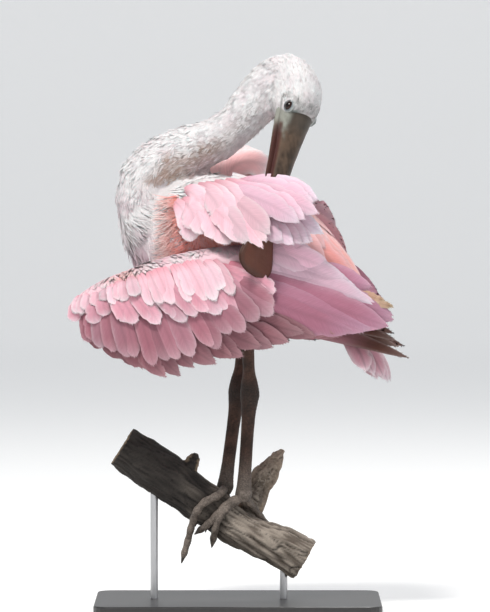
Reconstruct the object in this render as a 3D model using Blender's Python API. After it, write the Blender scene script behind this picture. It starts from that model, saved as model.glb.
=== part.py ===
"""A roseate spoonbill that preens its back, on a cut length of dead branch held by a plain display stand.

Metres, +Z up. The bird faces -X and its left side faces -Y. The origin is the middle of the stand's underside.
Points and sizes are written in millimetres and turned into metres where they are read.
"""

import math

import bmesh
import bpy
import numpy as np
from mathutils import Matrix, Vector

MM = 0.001
GAP = 0.35  # clearance between two nodes that meet
TRIM_GAP = 0.65  # how far a neighbour is swollen before it cuts a piece clear

BASE_SIZE = (300.0, 210.0, 10.0)
BASE_CORNER = 18.0
ROD_RADIUS = 4.0
ROD_PLACES = {"stand_rod_front": -88.0, "stand_rod_rear": 48.0}
PERCH_Y = -4.0

BILL_ROOT = (57.0, -38.0, 511.0)
BILL_TIP = (18.0, -95.0, 354.0)
HEAD_YAW = math.radians(40.0)  # how far the crown is turned towards the near side
MOUTH_SHIFT = 4.0  # how far the line of the mouth lies below the bill's axis
BILL_STEPS = 17
NOSTRIL = (19.7, 10.1, 10.8)  # from the bill's root: along the bill, towards the crown, and to each side
EYE_RADIUS = 6.2
EYE_PLACE = (10.4, 6.6)  # over the bill's root, and towards the crown
EYE_APART = 17.6  # from the head's middle plane
LID_RISE = 3.6  # of the lid fold over the eye's middle
VANE_THICKNESS = 0.8
# Share of a vane's length, and of its full width there
LONG_VANE = ((0.0, 0.55), (0.42, 0.98), (0.84, 0.9), (1.0, 0.34))
SHORT_VANE = ((0.0, 0.7), (0.78, 1.0), (1.0, 0.45))
CAMBER = 0.02  # how far a vane's edges drop, as a share of its width
TORSO_SIDES = 20
NECK_SIDES = 15

COLOURS = {
    "white_plumage": ((0.86, 0.80, 0.80), 0.85),
    "pink_plumage": ((0.86, 0.50, 0.55), 0.8),
    "pale_pink": ((0.90, 0.66, 0.70), 0.8),
    "salmon_plumage": ((0.85, 0.34, 0.28), 0.8),
    "bill_horn": ((0.26, 0.17, 0.12), 0.45),
    "eye": ((0.03, 0.01, 0.01), 0.1),
    "leg_skin": ((0.16, 0.08, 0.06), 0.55),
    "foot_skin": ((0.28, 0.23, 0.19), 0.7),
    "dead_wood": ((0.20, 0.17, 0.15), 0.9),
    "stand_base": ((0.06, 0.05, 0.05), 0.35),
    "stand_rod": ((0.45, 0.45, 0.46), 0.3),
}


def vec(point):
    return Vector(point) * MM


def material(name):
    found = bpy.data.materials.get(name)
    if found:
        return found
    colour, roughness = COLOURS[name]
    made = bpy.data.materials.new(name)
    made.use_nodes = True
    shader = made.node_tree.nodes["Principled BSDF"]
    shader.inputs["Base Color"].default_value = (*colour, 1.0)
    shader.inputs["Roughness"].default_value = roughness
    shader.inputs["Metallic"].default_value = 1.0 if name == "stand_rod" else 0.0
    return made


def sample(points, t):
    """A smooth curve through the points, read at t from 0 to 1. Radii may follow the coordinates."""
    points = np.asarray(points, float)
    last = len(points) - 1
    place = min(max(t, 0.0), 1.0) * last
    i = min(int(place), last - 1)
    f = place - i
    p1, p2 = points[i], points[i + 1]
    p0 = points[i - 1] if i > 0 else 2 * p1 - p2
    p3 = points[i + 2] if i + 2 <= last else 2 * p2 - p1
    cubic = (2 * p0 - 5 * p1 + 4 * p2 - p3) * f * f + (3 * p1 - p0 - 3 * p2 + p3) * f**3
    return 0.5 * (2 * p1 + (p2 - p0) * f + cubic)


def add_object(name, mesh, finish):
    made = bpy.data.objects.new(name, mesh)
    mesh.materials.clear()
    mesh.materials.append(material(finish))
    bpy.data.collections["spoonbill"].objects.link(made)
    return made


def mesh_object(name, points, faces, finish):
    mesh = bpy.data.meshes.new(name)
    mesh.from_pydata([tuple(p) for p in points], [], faces)
    solid = bmesh.new()
    solid.from_mesh(mesh)
    bmesh.ops.recalc_face_normals(solid, faces=solid.faces)
    solid.to_mesh(mesh)
    solid.free()
    return add_object(name, mesh, finish)


def ring_loft(name, rings, finish):
    """A closed loft through rings of as many points each, with a fan over each end."""
    sides = len(rings[0])
    points = [p for ring in rings for p in ring]
    faces = []
    for j in range(len(rings) - 1):
        for i in range(sides):
            a, b = j * sides + i, j * sides + (i + 1) % sides
            faces.append((a, b, b + sides))
            faces.append((a, b + sides, a + sides))
    for j in (0, len(rings) - 1):
        points.append(sum(rings[j], Vector()) / sides)
        hub = len(points) - 1
        faces += [(j * sides + i, j * sides + (i + 1) % sides, hub) for i in range(sides)]
    return mesh_object(name, points, faces, finish)


def oval(centre, across, up, half_across, half_up, sides, power=2.0):
    """A ring of points. A power over 2 makes it fuller than an ellipse."""
    ring = []
    for i in range(sides):
        angle = math.tau * i / sides
        c, s = math.cos(angle), math.sin(angle)
        x = math.copysign(abs(c) ** (2 / power), c) * half_across
        y = math.copysign(abs(s) ** (2 / power), s) * half_up
        ring.append(centre + across * x + up * y)
    return ring


def tube(name, stations, finish, sides=12, steps=10, start=0.0, end=1.0, side=(0, 1, 0), power=2.0):
    """A body along stations of (x, y, z, half width towards side, half height)."""
    rings = []
    for j in range(steps + 1):
        t = start + (end - start) * j / steps
        here = sample(stations, t)
        ahead = sample(stations, min(t + 0.01, 1.0)) - sample(stations, max(t - 0.01, 0.0))
        along = Vector(ahead[:3]).normalized()
        across = Vector(side) - along * along.dot(Vector(side))
        across.normalize()
        up = along.cross(across)
        rings.append(oval(vec(here[:3]), across, up, here[3] * MM, here[-1] * MM, sides, power))
    return ring_loft(name, rings, finish)


def baked(obj):
    """Puts what the object's modifiers make into its mesh."""
    bpy.context.view_layer.update()
    graph = bpy.context.evaluated_depsgraph_get()
    made = bpy.data.meshes.new_from_object(obj.evaluated_get(graph))
    obj.modifiers.clear()
    obj.data = made


def keep_largest(obj):
    """Drops every closed surface but the largest, so that a sealed hollow fills and a scrap goes."""
    solid = bmesh.new()
    solid.from_mesh(obj.data)
    solid.faces.ensure_lookup_table()
    unseen = set(solid.faces)
    islands = []
    while unseen:
        island, edge = set(), [unseen.pop()]
        while edge:
            face = edge.pop()
            island.add(face)
            near = {f for e in face.edges for f in e.link_faces} & unseen
            unseen -= near
            edge.extend(near)
        islands.append(island)

    def volume(island):
        total = 0.0
        for face in island:
            corners = [v.co for v in face.verts]
            for k in range(1, len(corners) - 1):
                total += corners[0].dot(corners[k].cross(corners[k + 1]))
        return total

    largest = max(islands, key=volume)
    bmesh.ops.delete(solid, geom=[f for f in solid.faces if f not in largest], context="FACES")
    bmesh.ops.dissolve_limit(
        solid, angle_limit=math.radians(1.0), verts=solid.verts, edges=solid.edges, use_dissolve_boundaries=False
    )
    bmesh.ops.triangulate(solid, faces=solid.faces)
    solid.to_mesh(obj.data)
    solid.free()


def combine(obj, others, operation):
    """One Boolean of the object with a collection of closed meshes, which are then removed."""
    group = bpy.data.collections.new("cutters")
    for other in others:
        group.objects.link(other)
    boolean = obj.modifiers.new("combine", "BOOLEAN")
    boolean.operation = operation
    boolean.operand_type = "COLLECTION"
    boolean.collection = group
    boolean.solver = "MANIFOLD"
    baked(obj)
    for other in others:
        bpy.data.objects.remove(other)
    bpy.data.collections.remove(group)
    keep_largest(obj)
    return obj


def fuse(obj, pieces):
    return combine(obj, pieces, "UNION")


def cut(obj, pieces):
    return combine(obj, pieces, "DIFFERENCE")


def swollen(obj):
    """A copy whose surface stands TRIM_GAP outside the object's."""
    copy = bpy.data.objects.new(obj.name + "_swollen", obj.data.copy())
    normals = [v.normal.copy() for v in copy.data.vertices]
    for vertex, normal in zip(copy.data.vertices, normals):
        vertex.co += normal * TRIM_GAP * MM
    return copy


def trim(obj, *neighbours):
    """Cuts the object clear of the neighbours that it would cross."""
    for neighbour in neighbours:
        cut(obj, [swollen(neighbour)])
    return obj


def bow_path(root, tip, bow):
    """A centreline from root to tip that bows by the vector bow at its middle."""
    root, tip, bow = vec(root), vec(tip), vec(bow)
    middle = (root + tip) / 2 + bow * 2

    def read(t):
        return root * (1 - t) ** 2 + middle * 2 * t * (1 - t) + tip * t * t

    return read


def vane(name, path, outward, width, finish, roll, stations):
    """One feather as a thin, cambered vane: six points a station, split alike on both faces."""
    rings = []
    for t, share in stations:
        centre = path(t)
        along = (path(min(t + 0.02, 1.0)) - path(max(t - 0.02, 0.0))).normalized()
        normal = Vector(outward) - along * along.dot(Vector(outward))
        normal.normalize()
        across = along.cross(normal)
        across, normal = (
            across * math.cos(roll) + normal * math.sin(roll),
            normal * math.cos(roll) - across * math.sin(roll),
        )
        half = width * MM * share / 2
        drop = normal * half * 2 * CAMBER
        thick = normal * VANE_THICKNESS * MM / 2
        left, right = centre - across * half - drop, centre + across * half - drop
        rings.append([left + thick, centre + thick, right + thick, right - thick, centre - thick, left - thick])
    faces = []
    for j in range(len(rings) - 1):
        a, b = 6 * j, 6 * (j + 1)
        for near, far in ((0, 1), (1, 2), (5, 4), (4, 3)):
            faces += [(a + near, a + far, b + far), (a + near, b + far, b + near)]
        for near, far in ((0, 5), (2, 3)):
            faces += [(a + near, a + far, b + far), (a + near, b + far, b + near)]
    for a in (0, 6 * (len(rings) - 1)):
        faces += [(a, a + 1, a + 5), (a + 1, a + 4, a + 5), (a + 1, a + 2, a + 4), (a + 2, a + 3, a + 4)]
    return mesh_object(name, [p for ring in rings for p in ring], faces, finish)


def tract(name, spec, side, finish):
    """A row of vanes whose roots and tips run along two curves. side is -1 for the left, 1 for the right."""
    pieces = []
    count = spec["count"]
    for i in range(count):
        t = i / max(count - 1, 1)
        root, tip = sample(spec["roots"], t), sample(spec["tips"], t)
        bow = np.array(spec["bow"], float)
        outward = Vector(spec.get("outward", (0, 1, 0)))
        for values in (root, tip, bow, outward):
            values[1] *= side
        width = float(np.interp(t, (0, 1), spec["width"]))
        roll = -math.radians(spec["roll"]) * side
        stations = SHORT_VANE if "short" in spec else LONG_VANE
        pieces.append(vane(f"{name}_{i}", bow_path(root, tip, bow), outward, width, finish, roll, stations))
    return pieces


# Body forms: x, y, z of the axis, half width, half height
TORSO = (
    (124, 0, 291, 7, 8),
    (112, 0, 301, 20, 23),
    (80, 0, 325, 42, 49),
    (30, 0, 355, 58, 70),
    (-20, 0, 378, 63, 79),
    (-62, 0, 389, 55, 70),
    (-96, 0, 394, 34, 44),
    (-116, 0, 398, 10, 16),
)
NECK = (
    (-64, 0, 372, 34, 40),
    (-86, 0, 396, 33, 38),
    (-98, 0, 424, 29, 31),
    (-103, -1, 448, 25, 26.5),
    (-84, -3, 469, 23, 26.5),
    (-52, -5, 482, 23, 27),
    (-24, -7, 492, 21, 25.5),
    (0, -9, 510, 19.5, 23.5),
    (20, -9, 533, 20.5, 27),
    (40, -7, 553, 20.5, 28.5),
    (56, -2, 565, 17, 22),
)
# Share of the neck's axis where each of its lengths ends
NECK_CUTS = (0.0, 0.324, 0.612, 1.0)
# Along the head from the bill's root: height over the root, shift to the crown, half width, half depth
HEAD = (
    (0.5, 3.5, 20.0, 20.5),
    (12.0, 1.2, 22.8, 26.5),
    (25.0, -1.5, 24.5, 28.5),
    (38.0, -6.5, 24.5, 27.0),
    (50.0, -15.0, 23.5, 24.5),
    (60.0, -24.5, 20.5, 20.5),
    (68.5, -33.0, 14.0, 14.5),
    (73.5, -38.0, 4.0, 5.0),
)
# Share of the bill, half width, thickness of the upper and of the lower mandible, gap between them
BILL = (
    (-0.06, 19.5, 24.0, 13.0, 0.6),
    (0.0, 19.0, 22.0, 12.5, 0.9),
    (0.07, 17.6, 18.0, 10.6, 2.4),
    (0.15, 15.8, 15.0, 9.0, 4.0),
    (0.26, 13.6, 11.5, 7.2, 5.4),
    (0.38, 12.2, 9.2, 5.8, 6.0),
    (0.50, 11.2, 7.3, 4.8, 6.0),
    (0.62, 11.4, 5.6, 4.0, 5.4),
    (0.72, 14.0, 4.8, 3.2, 4.6),
    (0.8, 19.5, 4.2, 2.8, 3.8),
    (0.87, 24.5, 3.7, 2.6, 3.2),
    (0.92, 26.0, 3.4, 2.5, 2.8),
    (0.96, 23.5, 3.2, 2.3, 2.4),
    (0.985, 17.0, 2.6, 2.0, 2.2),
    (1.0, 8.0, 1.8, 1.4, 2.0),
)
WING_CORE_LEFT = (
    (-177, -78, 312, 3, 5),
    (-166, -79, 318, 8, 12),
    (-140, -80, 328, 10, 20),
    (-108, -79, 337, 11, 24),
    (-70, -75, 347, 14, 27),
    (-30, -68, 354, 18, 28),
    (6, -60, 362, 18, 24),
    (28, -50, 368, 10, 14),
)
WING_CORE_RIGHT = (
    (-112, 52, 372, 6, 8),
    (-100, 58, 376, 12, 18),
    (-70, 64, 382, 14, 26),
    (-30, 66, 386, 14, 30),
    (10, 62, 390, 14, 26),
    (34, 52, 390, 10, 14),
)
WING_TRACTS_LEFT = {
    "primaries": {
        "roots": ((-128, 74, 308), (-92, 74, 316)),
        "tips": ((176, 27, 264), (168, 29, 276), (152, 33, 290), (128, 38, 298)),
        "bow": (0, 9, 20), "width": (20, 20), "count": 5, "roll": 12,
    },
    "secondaries": {
        "roots": ((-160, 80, 314), (-116, 80, 322), (-66, 77, 332), (-26, 72, 340)),
        "tips": (
            (-132, 79, 276), (-100, 83, 260), (-66, 86, 250), (-30, 86, 260),
            (6, 84, 273), (44, 80, 281), (80, 72, 291), (108, 60, 288),
        ),
        "bow": (0, 5, -5), "width": (28, 32), "count": 10, "roll": 9,
    },
    "tertials": {
        "roots": ((-24, 70, 346), (-6, 66, 358), (10, 62, 368)),
        "tips": ((120, 58, 290), (144, 50, 295), (160, 40, 300), (152, 38, 316), (130, 38, 340)),
        "bow": (0, 12, 0), "width": (38, 34), "count": 5, "roll": 7,
    },
    "greater_coverts": {
        "roots": ((-162, 82, 318), (-118, 87, 330), (-66, 86, 342), (-16, 82, 352)),
        "tips": ((-160, 86, 286), (-126, 92, 273), (-82, 95, 262), (-40, 95, 275), (4, 93, 294), (38, 88, 320)),
        "bow": (0, 4, 3), "width": (20, 24), "count": 11, "roll": 10, "short": True,
    },
    "median_coverts": {
        "roots": ((-164, 80, 325), (-122, 88, 340), (-66, 88, 354), (-10, 82, 364)),
        "tips": ((-166, 86, 304), (-128, 95, 306), (-82, 99, 304), (-36, 99, 312), (2, 97, 320), (32, 91, 340)),
        "bow": (0, 4, 3), "width": (20, 22), "count": 9, "roll": 10, "short": True,
    },
}
WING_TRACTS_RIGHT = {
    "primaries": {
        "roots": ((-84, 62, 360), (-56, 62, 364)),
        "tips": ((172, 16, 272), (162, 20, 286), (142, 25, 298)),
        "bow": (0, 18, 2), "width": (20, 20), "count": 4, "roll": 12,
    },
    "secondaries": {
        "roots": ((-98, 64, 366), (-60, 70, 370), (-10, 70, 378)),
        "tips": ((-36, 74, 292), (14, 78, 278), (62, 70, 280), (104, 54, 290)),
        "bow": (0, 8, -8), "width": (28, 30), "count": 7, "roll": 9,
    },
    "tertials": {
        "roots": ((-10, 70, 384), (6, 66, 392), (16, 60, 398)),
        "tips": ((116, 48, 296), (142, 38, 302), (154, 30, 312), (142, 30, 334), (112, 34, 356)),
        "bow": (0, 12, 4), "width": (38, 32), "count": 5, "roll": 7,
    },
    "greater_coverts": {
        "roots": ((-106, 66, 372), (-60, 77, 380), (0, 76, 392)),
        "tips": ((-84, 80, 318), (-36, 88, 302), (14, 88, 308), (52, 80, 330)),
        "bow": (0, 5, 3), "width": (24, 26), "count": 7, "roll": 10, "short": True,
    },
    "median_coverts": {
        "roots": ((-110, 60, 384), (-60, 76, 396), (4, 74, 408)),
        "tips": ((-100, 76, 350), (-50, 90, 340), (4, 92, 346), (44, 84, 362)),
        "bow": (0, 5, 3), "width": (24, 26), "count": 6, "roll": 10, "short": True,
    },
}
SCAPULARS_LEFT = {
    "short": {
        "roots": ((-66, 44, 428), (-50, 46, 430), (-34, 46, 434)),
        "tips": ((-52, 74, 394), (-30, 82, 392), (4, 92, 386)),
        "bow": (2, 10, 6), "width": (26, 28), "count": 4, "roll": 8, "short": True,
    },
    "long": {
        "roots": ((-36, 42, 438), (-22, 38, 442), (-8, 34, 444)),
        "tips": ((24, 101, 386), (60, 98, 408), (82, 84, 424)),
        "bow": (0, 16, 5), "width": (32, 32), "count": 4, "roll": 6,
    },
}
SCAPULARS_RIGHT = {
    "short": {
        "roots": ((-70, 42, 430), (-46, 44, 434), (-22, 42, 438)),
        "tips": ((-56, 80, 392), (-12, 88, 384), (26, 86, 386)),
        "bow": (2, 10, 6), "width": (32, 32), "count": 4, "roll": 8, "short": True,
    },
    "long": {
        "roots": ((-30, 40, 440), (-14, 36, 444), (4, 30, 444), (14, 24, 440)),
        "tips": ((48, 84, 394), (80, 72, 410), (99, 58, 405), (116, 42, 370)),
        "bow": (0, 12, 8), "width": (34, 34), "count": 4, "roll": 6,
    },
    "raised": {
        "roots": ((-38, 26, 444), (-24, 24, 444), (-10, 22, 444)),
        "tips": ((14, 48, 474), (30, 44, 464), (36, 38, 452)),
        "bow": (-6, 0, 15), "width": (30, 30), "count": 3, "roll": 12, "outward": (0, 0.8, 0.6),
    },
}
TAIL_TRACTS = {
    "tail_coverts": {
        "roots": ((96, -18, 318), (98, 0, 320), (96, 18, 318)),
        "tips": ((138, -22, 292), (142, 0, 298), (138, 22, 292)),
        "bow": (3, 0, 5), "width": (24, 24), "count": 4, "roll": 5, "outward": (0.5, 0, 1), "short": True,
    },
    "rectrices": {
        "roots": ((104, -14, 296), (108, 0, 300), (104, 14, 296)),
        "tips": ((134, -36, 250), (156, -14, 242), (158, 12, 243), (138, 34, 252)),
        "bow": (3, 0, 3), "width": (20, 20), "count": 8, "roll": 9, "outward": (0.6, 0, 0.8),
    },
}
BACK_ANGLES = (-42, -14, 14, 42)  # of the back's feathers, from the ridge of the back
BACK_ROOTS, BACK_TIPS = (0.47, 1.5), (0.17, 12.0)  # share of the torso's length, and lift over it

PERCH = (
    (-122, 170, 21),
    (-92, 151, 24),
    (-61, 128, 23),
    (-30, 106, 21),
    (0, 84.5, 20),
    (24, 73, 20.5),
    (48, 63, 22),
    (70, 50, 22),
)
PERCH_STUB = (
    (2, 12, 88, 14, 14),
    (14, 20, 107, 13.5, 13.5),
    (25, 25, 130, 12.5, 12.5),
    (37, 28, 149, 11, 11),
    (48, 31, 165, 2.5, 2.5),
)


def head_axes():
    """Unit vectors of the head: along the bill, out of the crown, and out of its right side."""
    bill = (vec(BILL_TIP) - vec(BILL_ROOT)).normalized()
    crown = Vector((math.cos(HEAD_YAW), -math.sin(HEAD_YAW), 0.0))
    crown = (crown - bill * bill.dot(crown)).normalized()
    return bill, crown, bill.cross(crown)


def make_torso():
    return tube("torso", TORSO, "white_plumage", sides=TORSO_SIDES, steps=12)


def make_neck(torso, head):
    """Three lengths of neck, parted by thin cuts across its axis."""
    names = ("neck_base", "neck_middle", "neck_upper")
    lengths = []
    cut_share = 0.0014
    for i, name in enumerate(names):
        start, end = NECK_CUTS[i] + cut_share, NECK_CUTS[i + 1] - cut_share
        lengths.append(
            tube(name, NECK, "white_plumage", sides=NECK_SIDES, steps=5, start=start, end=end)
        )
    base, middle, upper = lengths
    trim(upper, middle, head)
    trim(middle, base, torso)
    trim(base, torso)
    return lengths


def head_point(height, shift, sideways=0.0):
    """A point from the bill's root: height back along the bill, shift towards the crown, and to the right."""
    bill, crown, right = head_axes()
    return vec(BILL_ROOT) + (-bill * height + crown * shift + right * sideways) * MM


def eye_centre(side):
    return head_point(*EYE_PLACE, side * EYE_APART)


def make_head():
    """The head with raised lids and the corner of the mouth cut in, and the two eyes."""
    bill, crown, right = head_axes()
    stations = []
    for height, shift, half_width, half_depth in HEAD:
        centre = head_point(height, shift) / MM
        stations.append((*centre, half_width, half_depth))
    head = tube("head", stations, "white_plumage", sides=18, steps=11, side=right, power=2.15)
    eyes, lids, sockets, slits = [], [], [], []
    for side, name in ((-1, "eye_left"), (1, "eye_right")):
        centre = eye_centre(side)
        eyes.append(ball(name, centre, EYE_RADIUS))
        sockets.append(ball(name + "_socket", centre, EYE_RADIUS + TRIM_GAP))
        lids.append(lid_ring(centre, right * side, name + "_lid"))
    fuse(head, lids)
    mouth = head_point(1.0, -MOUTH_SHIFT)
    slits.append(box("mouth_slit", mouth, (right * 30, bill * 7, crown * 0.8)))
    cut(head, sockets + slits)
    return head, eyes


def ball(name, centre, radius):
    mesh = bpy.data.meshes.new(name)
    solid = bmesh.new()
    bmesh.ops.create_uvsphere(solid, u_segments=12, v_segments=8, radius=radius * MM)
    bmesh.ops.translate(solid, verts=solid.verts, vec=centre)
    bmesh.ops.triangulate(solid, faces=solid.faces)
    solid.to_mesh(mesh)
    solid.free()
    return add_object(name, mesh, "eye")


def box(name, centre, halves):
    """A box whose half sides are three vectors in millimetres."""
    a, b, c = (h * MM for h in halves)
    points = [centre + a * i + b * j + c * k for i in (-1, 1) for j in (-1, 1) for k in (-1, 1)]
    faces = [(0, 1, 3, 2), (4, 6, 7, 5), (0, 4, 5, 1), (2, 3, 7, 6), (0, 2, 6, 4), (1, 5, 7, 3)]
    return mesh_object(name, points, faces, "eye")


def lid_ring(centre, outward, name):
    """The fold of bare lid round one eye."""
    bpy.ops.mesh.primitive_torus_add(
        major_radius=5.7 * MM, minor_radius=1.6 * MM, major_segments=14, minor_segments=5
    )
    ring = bpy.context.object
    ring.name = name
    turn = outward.to_track_quat("Z", "Y").to_matrix().to_4x4()
    ring.data.transform(turn)
    ring.data.transform(Matrix.Translation(centre + outward * LID_RISE * MM))
    for holder in list(ring.users_collection):
        holder.objects.unlink(ring)
    bpy.data.collections["spoonbill"].objects.link(ring)
    return ring


def make_bill(head):
    """The two mandibles, broad and flat at the tip, a little open."""
    bill, crown, right = head_axes()
    length = (vec(BILL_TIP) - vec(BILL_ROOT)).length
    made = []
    for name, sign in (("bill_upper", 1), ("bill_lower", -1)):
        rings = []
        for j in range(BILL_STEPS + 1):
            share, half, upper, lower, opening = sample(BILL, j / BILL_STEPS)
            thick = upper if sign > 0 else lower
            centre = vec(BILL_ROOT) + bill * min(share, 1.0) * length - crown * MOUTH_SHIFT * MM
            centre += crown * sign * opening / 2 * MM
            ring = []
            for k in range(9):
                angle = math.pi * k / 8
                side = math.cos(angle) * half
                rise = math.sin(angle) ** 0.8 * thick
                ring.append(centre + right * side * MM + crown * sign * rise * MM)
            rings.append(ring)
        made.append(ring_loft(name, rings, "bill_horn"))
    slots = []
    for side in (-1, 1):
        normal = right * side * 0.66 + crown * 0.75
        centre = vec(BILL_ROOT) + (bill * NOSTRIL[0] + crown * NOSTRIL[1] + right * side * NOSTRIL[2]) * MM
        slots.append(box("nostril", centre, (normal * 2.0, bill * 4.5, bill.cross(normal) * 0.9)))
    cut(made[0], slots)
    for mandible in made:
        trim(mandible, head)
    return made


def perch_at(x):
    """Height and radius of the perch's axis at x."""
    xs = [p[0] for p in PERCH]
    return float(np.interp(x, xs, [p[1] for p in PERCH])), float(np.interp(x, xs, [p[2] for p in PERCH]))


def over_perch(x, z, radius):
    """How far in front of the perch's axis a toe of this radius lies where it is seen at x, z."""
    height, thickness = perch_at(x)
    slope = math.atan2(perch_at(x + 5)[0] - perch_at(x - 5)[0], 10)
    off_axis = (z - height) * math.cos(slope)
    reach = thickness * 1.04 + radius + GAP
    return math.sqrt(max(reach**2 - off_axis**2, (0.45 * reach) ** 2))


LEGS = {
    "left": {
        "hip": (10, -34, 318), "shank": (10.5, -24, 276), "hock": (12.5, -16, 226), "ankle": (6, -15, 124),
        "toes": (
            (-1, ((-10, 112), (-24, 98), (-33, 89), (-39, 84))),
            (-1, ((-9, 109), (-20, 97), (-24, 84), (-26, 73))),
            (1, ((10, 101), (9, 88), (7, 75))),
        ),
        "hallux": (1, ((22, 98), (32, 84), (38, 70))),
    },
    "right": {
        "hip": (4, 32, 318), "shank": (5, 22, 276), "hock": (0, 13, 228), "ankle": (-13, 10, 131),
        "toes": (
            (-1, ((-20, 121), (-34, 114), (-43, 104), (-48, 90), (-52, 74), (-56, 60))),
            (1, ((-28, 120), (-38, 110), (-42, 96))),
            (1, ((-23, 117), (-29, 104), (-32, 90))),
        ),
        "hallux": (1, ((-11, 108), (-12, 95), (-12, 83))),
    },
}


def toe_tube(name, heel, side, places, radius):
    """One toe that lies over the branch, on its near side (-1) or its far side (1), with a tapered claw."""
    stations = [(*heel, radius, radius)]
    for i, (x, z) in enumerate(places):
        y = PERCH_Y + side * over_perch(x, z, radius)
        size = radius * (1.0 - 0.25 * (i + 1) / len(places))
        stations.append((x, y, z, size, size))
    tip = np.array(stations[-1][:3])
    run = tip - np.array(stations[-2][:3])
    run = run / np.linalg.norm(run)
    stations.append((*(tip + run * 6), radius * 0.42, radius * 0.42))
    stations.append((*(tip + run * 12), 0.7, 0.7))
    return tube(name, stations, "foot_skin", sides=6, steps=(3 * len(stations)) // 2)


def make_leg(side_name, torso, perch):
    """One leg: feathered thigh, bare shank down to the hock, and the long bone with the foot."""
    spec = LEGS[side_name]
    hip, shank, hock, ankle = (np.array(spec[k], float) for k in ("hip", "shank", "hock", "ankle"))
    thigh = tube(
        f"thigh_{side_name}",
        ((*(hip + (hip - shank) * 0.2), 20, 24), (*hip, 23, 27), (*(hip * 0.5 + shank * 0.5), 15, 18), (*shank, 8.5, 9.5)),
        "pale_pink", sides=12, steps=5,
    )
    trim(thigh, torso)
    down = (hock - shank) / np.linalg.norm(hock - shank)
    middle = (shank + hock) / 2
    shank_solid = tube(
        f"shank_{side_name}",
        (
            (*(shank - down * 4), 5.4, 6.0), (*(shank + down * 4), 5.8, 6.5), (*middle, 5.6, 6.4),
            (*(hock - down * 12), 7.2, 9.0), (*hock, 8.0, 10.2),
        ),
        "leg_skin", sides=9, steps=5,
    )
    trim(shank_solid, thigh)
    lower = (ankle - hock) / np.linalg.norm(ankle - hock)
    tarsus = tube(
        f"tarsus_{side_name}",
        (
            (*(hock - lower * 3), 7.6, 9.8), (*(hock + lower * 5), 7.6, 9.8), (*(hock * 0.74 + ankle * 0.26), 5.6, 7.2),
            (*(hock * 0.3 + ankle * 0.7), 5.4, 6.8), (*(ankle - lower * 8), 6.0, 7.6), (*ankle, 6.4, 8.2),
        ),
        "leg_skin", sides=9, steps=7,
    )
    trim(tarsus, shank_solid)
    foot = tube(
        f"foot_{side_name}",
        ((*(ankle - lower * 3), 5.8, 7.6), (*(ankle + lower * 5), 7.6, 9.0), (*(ankle + lower * 11), 6.5, 7.5)),
        "foot_skin", sides=10, steps=3,
    )
    heel = ankle + lower * 5
    toes = [
        toe_tube(f"toe_{i}", heel, side, places, 4.6) for i, (side, places) in enumerate(spec["toes"])
    ]
    toes.append(toe_tube("hallux", heel, *spec["hallux"], 4.0))
    fuse(foot, toes)
    trim(foot, perch, tarsus)
    return [thigh, shank_solid, tarsus, foot]


def make_perch():
    """A cut length of weathered branch, with the broken stub of a twig behind the feet."""
    rng = np.random.default_rng(7)
    rings = []
    steps = 12
    for j in range(steps + 1):
        x, z, radius = sample(PERCH, j / steps)
        ahead = sample(PERCH, min(j / steps + 0.02, 1.0)) - sample(PERCH, max(j / steps - 0.02, 0.0))
        along = Vector((ahead[0], 0, ahead[1])).normalized()
        up = Vector((-along.z, 0, along.x))
        ring = oval(vec((x, PERCH_Y, z)), Vector((0, 1, 0)), up, radius * MM, radius * MM, 14)
        middle = vec((x, PERCH_Y, z))
        rings.append([middle + (p - middle) * (1 + float(rng.uniform(-0.05, 0.03))) for p in ring])
    perch = ring_loft("perch", rings, "dead_wood")
    stub = tube("perch_stub", PERCH_STUB, "dead_wood", sides=9, steps=5)
    knot = tube(
        "perch_knot", ((-62, -4, 128, 10, 10), (-52, -4, 146, 9, 9), (-46, -3, 158, 7, 7), (-44, -3, 163, 3, 3)),
        "dead_wood", sides=8, steps=4,
    )
    return fuse(perch, [stub, knot])


def make_stand(perch):
    """A flat base with rounded corners and two rods up to the perch."""
    width, depth, height = BASE_SIZE
    bpy.ops.mesh.primitive_cube_add(size=1.0, location=(0, 0, height * MM / 2))
    base = bpy.context.object
    base.name = "stand_base"
    base.scale = (width * MM, depth * MM, height * MM)
    bpy.ops.object.transform_apply(location=False, rotation=False, scale=True)
    for holder in list(base.users_collection):
        holder.objects.unlink(base)
    bpy.data.collections["spoonbill"].objects.link(base)
    base.data.materials.append(material("stand_base"))
    corners = bmesh.new()
    corners.from_mesh(base.data)
    upright = [e for e in corners.edges if abs(e.verts[0].co.z - e.verts[1].co.z) > height * MM / 2]
    bmesh.ops.bevel(corners, geom=upright, offset=BASE_CORNER * MM, segments=5, profile=0.5, affect="EDGES")
    top = [e for e in corners.edges if min(v.co.z for v in e.verts) > height * MM * 0.49]
    bmesh.ops.bevel(corners, geom=top, offset=1.5 * MM, segments=2, profile=0.5, affect="EDGES")
    corners.to_mesh(base.data)
    corners.free()
    rods = []
    for name, x in ROD_PLACES.items():
        top = perch_at(x)[0]
        bottom = height + GAP
        bpy.ops.mesh.primitive_cylinder_add(
            vertices=20, radius=ROD_RADIUS * MM, depth=(top - bottom) * MM,
            location=vec((x, PERCH_Y, (top + bottom) / 2)),
        )
        rod = bpy.context.object
        rod.name = name
        rod.data.transform(Matrix.Translation(rod.location))
        rod.location = (0, 0, 0)
        for holder in list(rod.users_collection):
            holder.objects.unlink(rod)
        bpy.data.collections["spoonbill"].objects.link(rod)
        rod.data.materials.append(material("stand_rod"))
        rods.append(trim(rod, perch))
    return [base, *rods]


def make_feathers(name, core, tracts, side, finish, neighbours):
    """A node that carries feathers: its core, with every tract rooted in it, cut clear of its neighbours."""
    pieces = []
    for title, spec in tracts.items():
        pieces += tract(f"{name}_{title}", spec, side, finish)
    fuse(core, pieces)
    core.name = name
    return trim(core, *neighbours)


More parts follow.
